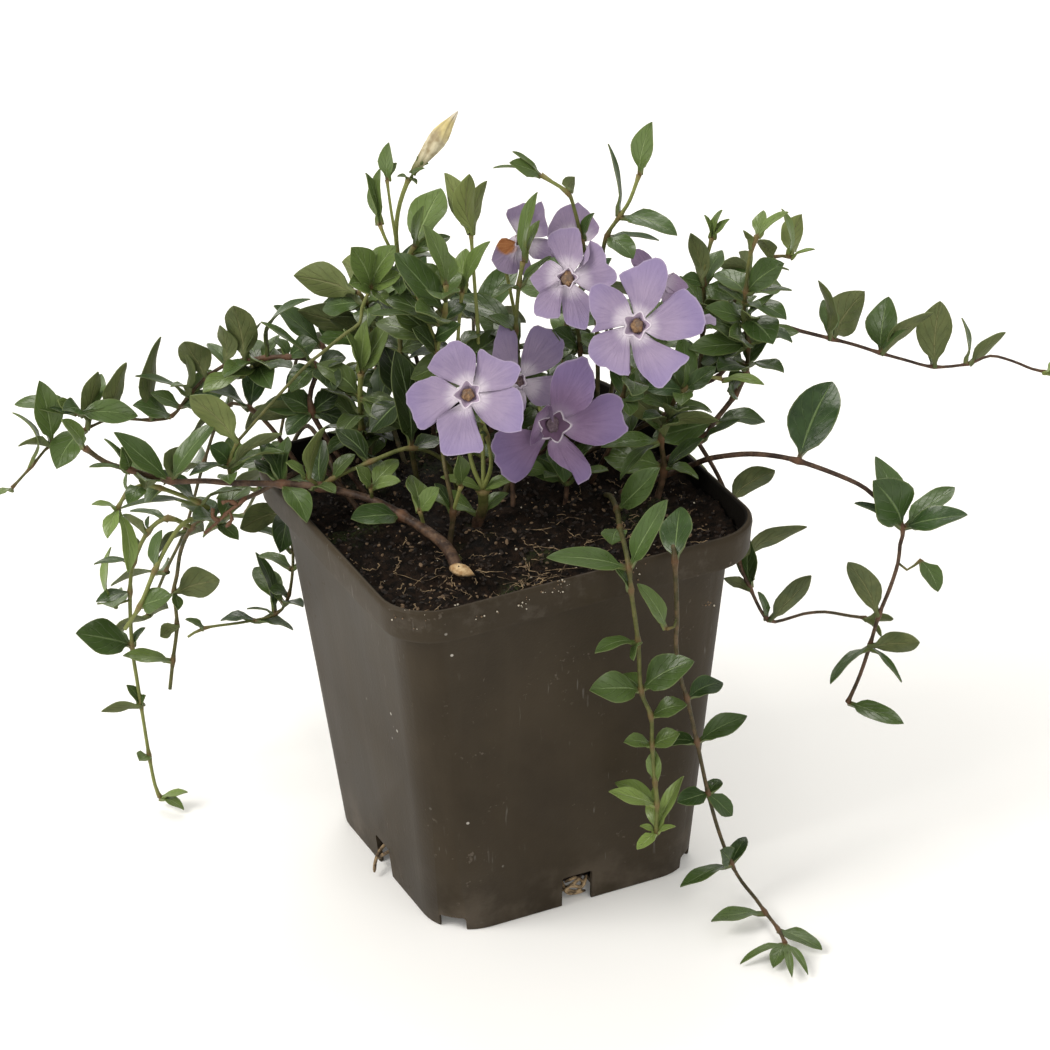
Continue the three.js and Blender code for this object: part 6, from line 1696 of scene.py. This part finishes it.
def grow_throat(bm, axes, star, violet):
    """The throat's funnel and the tube behind it, as one closed shape."""
    throat, normal, first, second = axes
    middle = star[0]
    funnel = bmesh.new()
    layers = [funnel.verts.layers.float.new(mark) for mark in PETAL_MARKS]
    made = bmesh.ops.create_circle(
        funnel, cap_ends=True, segments=THROAT_SIDES, radius=1)["verts"]
    edges = funnel.edges[:]
    for i, (along, share, more, deep) in enumerate(TUBE_PROFILE):
        if i:
            edges, made = next_ring(funnel, edges)
        for vert in made:
            angle = math.atan2(vert.co.y, vert.co.x)
            wide = share * star_reach(star, angle) + more
            vert.co = (math.cos(angle) * wide, math.sin(angle) * wide, along)
            for layer, mark in zip(layers, (0.25 if along > -3 else 0.5, deep, violet, 0, 0)):
                vert[layer] = mark
    close_last(funnel, edges)
    for vert in funnel.verts:
        across, up, along = vert.co
        aside = middle * min(1, 1 + along / TUBE_LENGTH)
        vert.co = throat + normal * along + first * (across + aside.x) + second * (up + aside.y)
    add_to(bm, funnel)


for number, (name, petals) in enumerate(PETAL_EDGES.items()):
    violet = BLOOMS[name][-1]
    bm = marked_mesh((*PETAL_MARKS, "young"))
    draw = random.Random(PETAL_SEED + number)
    axes = bloom_axes(name)
    throat, normal, first, second = axes
    star = star_of(name, axes, petals)
    curls = PETAL_CURLS.get(name, (0,) * len(petals))
    for span, outline, curl in zip(star[2], petals, curls):
        grow_petal(bm, axes, star, span, outline, violet, curl, WITHERED.get(name), draw)
    grow_throat(bm, axes, star, violet)
    if name == CURLED_BLOOM:
        tip_course = [seen(*stop) for stop in CURLED_END]
        tip_marks = [(mark, [value] * len(CURLED_END))
                     for mark, value in zip(PETAL_MARKS, CURLED_LOOK)]
        tube(bm, list(zip(tip_course, CURLED_RADII)), STEM_SIDES, tip_marks)
    foot = throat - normal * TUBE_LENGTH
    for start, end in star[2]:
        aside = first * math.cos(end + 0.2) + second * math.sin(end + 0.2)
        tip = foot + normal * CALYX_LEAF + aside * CALYX_LEAN
        grow_leaf(bm, foot, tip, -aside + normal * 0.3, CALYX_WIDTH, 0, CALYX_YOUTH, draw, LEAF_SLOT)
    piece_of(bm, name + "_corolla", [petal_satin, leaf_green], [name + "_petals"])


# Eyes: the velvety tan head of anthers that closes each throat; in the more violet blooms it is
# younger, greyer and sunk deeper.
YOUNG_EYES = {"bloom_lower": 0.9, "bloom_inner": 0.6}
LONG_EYES = {"bloom_upper": 1.5, "bloom_right": 1.15, "bloom_lower": 1.5}
# Mm across and through, the share by which its five lobes and its velvet stand out, and how deep
# the eye sits in mm, with what a young one adds
EYE_HALF = 1.4
EYE_HEIGHT = 0.9
EYE_LOBES = 0.09
EYE_ROUGH = 0.16
EYE_SUNK = 0.55
YOUNG_EYE_SUNK = 0.9

eye_velvet, shade = new_finish("eye_velvet")
spot = shade.place()
fuzz = spot.grain(1500, 4, 0.7)
eye_tone = fuzz.step(0.35, 0.65).mix((0.12, 0.06, 0.028), (0.34, 0.21, 0.11))
eye_tone = (spot.grain(620, 2).step(0.5, 0.62) * 0.7).mix(eye_tone, (0.16, 0.115, 0.09))
unripe_tone = fuzz.step(0.3, 0.7).mix((0.08, 0.05, 0.075), (0.2, 0.15, 0.19))
eye_tone = shade.mark("unripe").mix(eye_tone, unripe_tone)
lay_finish(eye_velvet, eye_tone, 0.75 + fuzz * 0.2, fuzz, 0.0005)

for name, petals in PETAL_EDGES.items():
    axes = bloom_axes(name)
    throat, normal, first, second = axes
    middle, _, spans = star_of(name, axes, petals)
    unripe = YOUNG_EYES.get(name, 0)
    bm = bmesh.new()
    unripe_layer = bm.verts.layers.float.new("unripe")
    bmesh.ops.create_uvsphere(bm, u_segments=20, v_segments=12, radius=1)
    for vert in bm.verts:
        angle = math.atan2(vert.co.y, vert.co.x)
        flat = math.hypot(vert.co.x, vert.co.y)
        vert[unripe_layer] = unripe
        lobes = 1 + EYE_LOBES * flat * math.cos(5 * (angle - spans[0][0]))
        rough = 1 + EYE_ROUGH * noise.noise(vert.co * 3 + throat)
        tall = EYE_HALF * LONG_EYES.get(name, 1)
        sunk = EYE_SUNK + YOUNG_EYE_SUNK * unripe
        vert.co = Vector((vert.co.x * EYE_HALF * lobes * rough, vert.co.y * tall * lobes * rough,
                          vert.co.z * EYE_HEIGHT * rough + 0.15 * flat - sunk))
    place = placing(throat + first * middle.x + second * middle.y, (first, second, normal))
    bmesh.ops.transform(bm, matrix=place, verts=bm.verts)
    piece_of(bm, name + "_anthers", [eye_velvet], [name + "_eye"])


# Furled bud: five cream petals rolled round each other into a spindle, on a small green calyx.
BUD_LENGTH = 17
BUD_CLEARANCE = 1.9
BUD_FOOT = (409, 178, -13)
BUD_TIP = (453, 118)
BUD_PROFILE = [(0, 0.75), (0.8, 0.95), (2.5, 1.15), (4.5, 1.45), (6.5, 1.8), (8.5, 2.05),
               (10.5, 1.95), (12.5, 1.5), (14, 1.0), (15.5, 0.6), (16.6, 0.28), (17, 0.08)]
BUD_SIDES = 30
BUD_PETALS = 5
BUD_TWIST = 0.55
BUD_HOLLOW = 0.16
BUD_CALYX = 3.4
BUD_CALYX_LEAN = 1.7
BUD_CALYX_WIDTH = 1.2
BUD_CALYX_YOUTH = 0.3
BUD_SEED = 700
BUD_MARKS = ("reach", "ridge", "tint", "young", "under")

bud_cream, shade = new_finish("bud_cream")
spot = shade.place()
up_bud = shade.mark("reach")
ridge = shade.mark("ridge")
patches = spot.grain(330, 3)
bud_tone = patches.step(0.4, 0.62).mix((0.30, 0.24, 0.13), (0.56, 0.50, 0.34))
yellowing = (up_bud + patches * 0.4).step(0.75, 0.9) * (up_bud + patches * 0.3).step(1.1, 0.95)
bud_tone = (yellowing * 0.65).mix(bud_tone, (0.60, 0.50, 0.19))
bud_tone = (up_bud.step(0.8, 1.0) * 0.7).mix(bud_tone, (0.66, 0.60, 0.50))
bud_tone = (ridge * 0.5).mix(bud_tone, (0.26, 0.2, 0.11))
bud_tone = up_bud.step(0.34, 0.02).mix(bud_tone, (0.17, 0.17, 0.06))
lay_finish(bud_cream, bud_tone, 0.5 + spot.grain(300) * 0.2, ridge * -1 + spot.grain(900) * 0.3,
           0.0002)

start = seen(*BUD_FOOT)
tip = seen_at_reach(*BUD_TIP, start, BUD_LENGTH)
along = (tip - start).normalized()
start = start + along * BUD_CLEARANCE
bm = marked_mesh(BUD_MARKS)
reach_layer, ridge_layer = (bm.verts.layers.float[mark] for mark in ("reach", "ridge"))
made = bmesh.ops.create_circle(bm, cap_ends=True, segments=BUD_SIDES, radius=1)["verts"]
edges = bm.edges[:]
for i, (out, radius) in enumerate(BUD_PROFILE):
    if i:
        edges, made = next_ring(bm, edges)
    for vert in made:
        angle = math.atan2(vert.co.y, vert.co.x)
        wound = BUD_PETALS * angle + out * BUD_TWIST
        hollow = max(0, math.sin(wound)) ** 3
        wide = radius * (1.04 - BUD_HOLLOW * hollow)
        vert.co = (math.cos(angle) * wide, math.sin(angle) * wide, out)
        vert[reach_layer] = out / BUD_LENGTH
        vert[ridge_layer] = hollow
close_last(bm, edges)
side = along.cross(BACK).normalized()
place = placing(start, (side, along.cross(side), along))
bmesh.ops.transform(bm, matrix=place, verts=bm.verts)
draw = random.Random(BUD_SEED)
for order in range(BUD_PETALS):
    angle = order * math.tau / BUD_PETALS
    aside = side * math.cos(angle) + along.cross(side) * math.sin(angle)
    tip = start + along * BUD_CALYX + aside * BUD_CALYX_LEAN
    grow_leaf(bm, start - along * 0.4, tip, -aside, BUD_CALYX_WIDTH, 0, BUD_CALYX_YOUTH, draw,
              LEAF_SLOT)
piece_of(bm, "rolled_bud", [bud_cream, leaf_green], ["furled_bud"])


# Studio: a pale seamless floor, broad soft lights and the camera, which looks along the line of
# sight through a long lens.
PICTURE_SIZE = 1050
FILM = 36
LIGHT_TONE = (1, 0.965, 0.91)
LIT_HEIGHT = 0.1

floor_mesh = bpy.data.meshes.new("floor")
bm = bmesh.new()
bmesh.ops.create_grid(bm, x_segments=1, y_segments=1, size=6)
bm.to_mesh(floor_mesh)
bm.free()
floor = bpy.data.objects.new("floor", floor_mesh)
bpy.context.scene.collection.objects.link(floor)
floor_pale, shade = new_finish("floor_pale")
floor_tone = shade.place().grain(3, 2).mix((0.84, 0.84, 0.835), (0.86, 0.86, 0.855))
lay_finish(floor_pale, floor_tone, 0.7 + shade.place().grain(4) * 0.1,
           fixed={"Emission Color": (1, 0.985, 0.94, 1), "Emission Strength": 0.1})
floor_mesh.materials.append(floor_pale)

world = bpy.data.worlds.new("studio")
world.use_nodes = True
world.node_tree.nodes["Background"].inputs["Color"].default_value = (1, 0.985, 0.95, 1)
world.node_tree.nodes["Background"].inputs["Strength"].default_value = 0.62
bpy.context.scene.world = world
bpy.context.scene.view_settings.view_transform = "Standard"


def add_light(name, place, size, energy):
    """A square soft light that shines at the plant: its place and size in metres, and watts."""
    light = bpy.data.lights.new(name, "AREA")
    light.shape = "SQUARE"
    light.size = size
    light.energy = energy
    light.color = LIGHT_TONE
    lamp = bpy.data.objects.new(name, light)
    lamp.location = place
    lamp.rotation_mode = "QUATERNION"
    away = Vector(place) - Vector((0, 0, LIT_HEIGHT))
    lamp.rotation_quaternion = away.to_track_quat("Z", "Y")
    bpy.context.scene.collection.objects.link(lamp)


add_light("key_left", (-1.3, 0.1, 1.3), 0.9, 24)
add_light("front_soft", (0.2, -1.6, 1.2), 1.2, 9)
add_light("top_back", (0.4, 1.2, 1.6), 1.0, 18)

lens = bpy.data.cameras.new("camera")
lens.sensor_width = FILM
lens.lens = PICTURE_SCALE / PICTURE_SIZE * FILM
lens.shift_x = (PICTURE_SIZE / 2 - PICTURE_MIDDLE[0]) / PICTURE_SIZE
camera = bpy.data.objects.new("camera", lens)
bpy.context.scene.collection.objects.link(camera)
camera.matrix_world = placing(EYE * MM, (RIGHT, UP, BACK))
bpy.context.scene.camera = camera
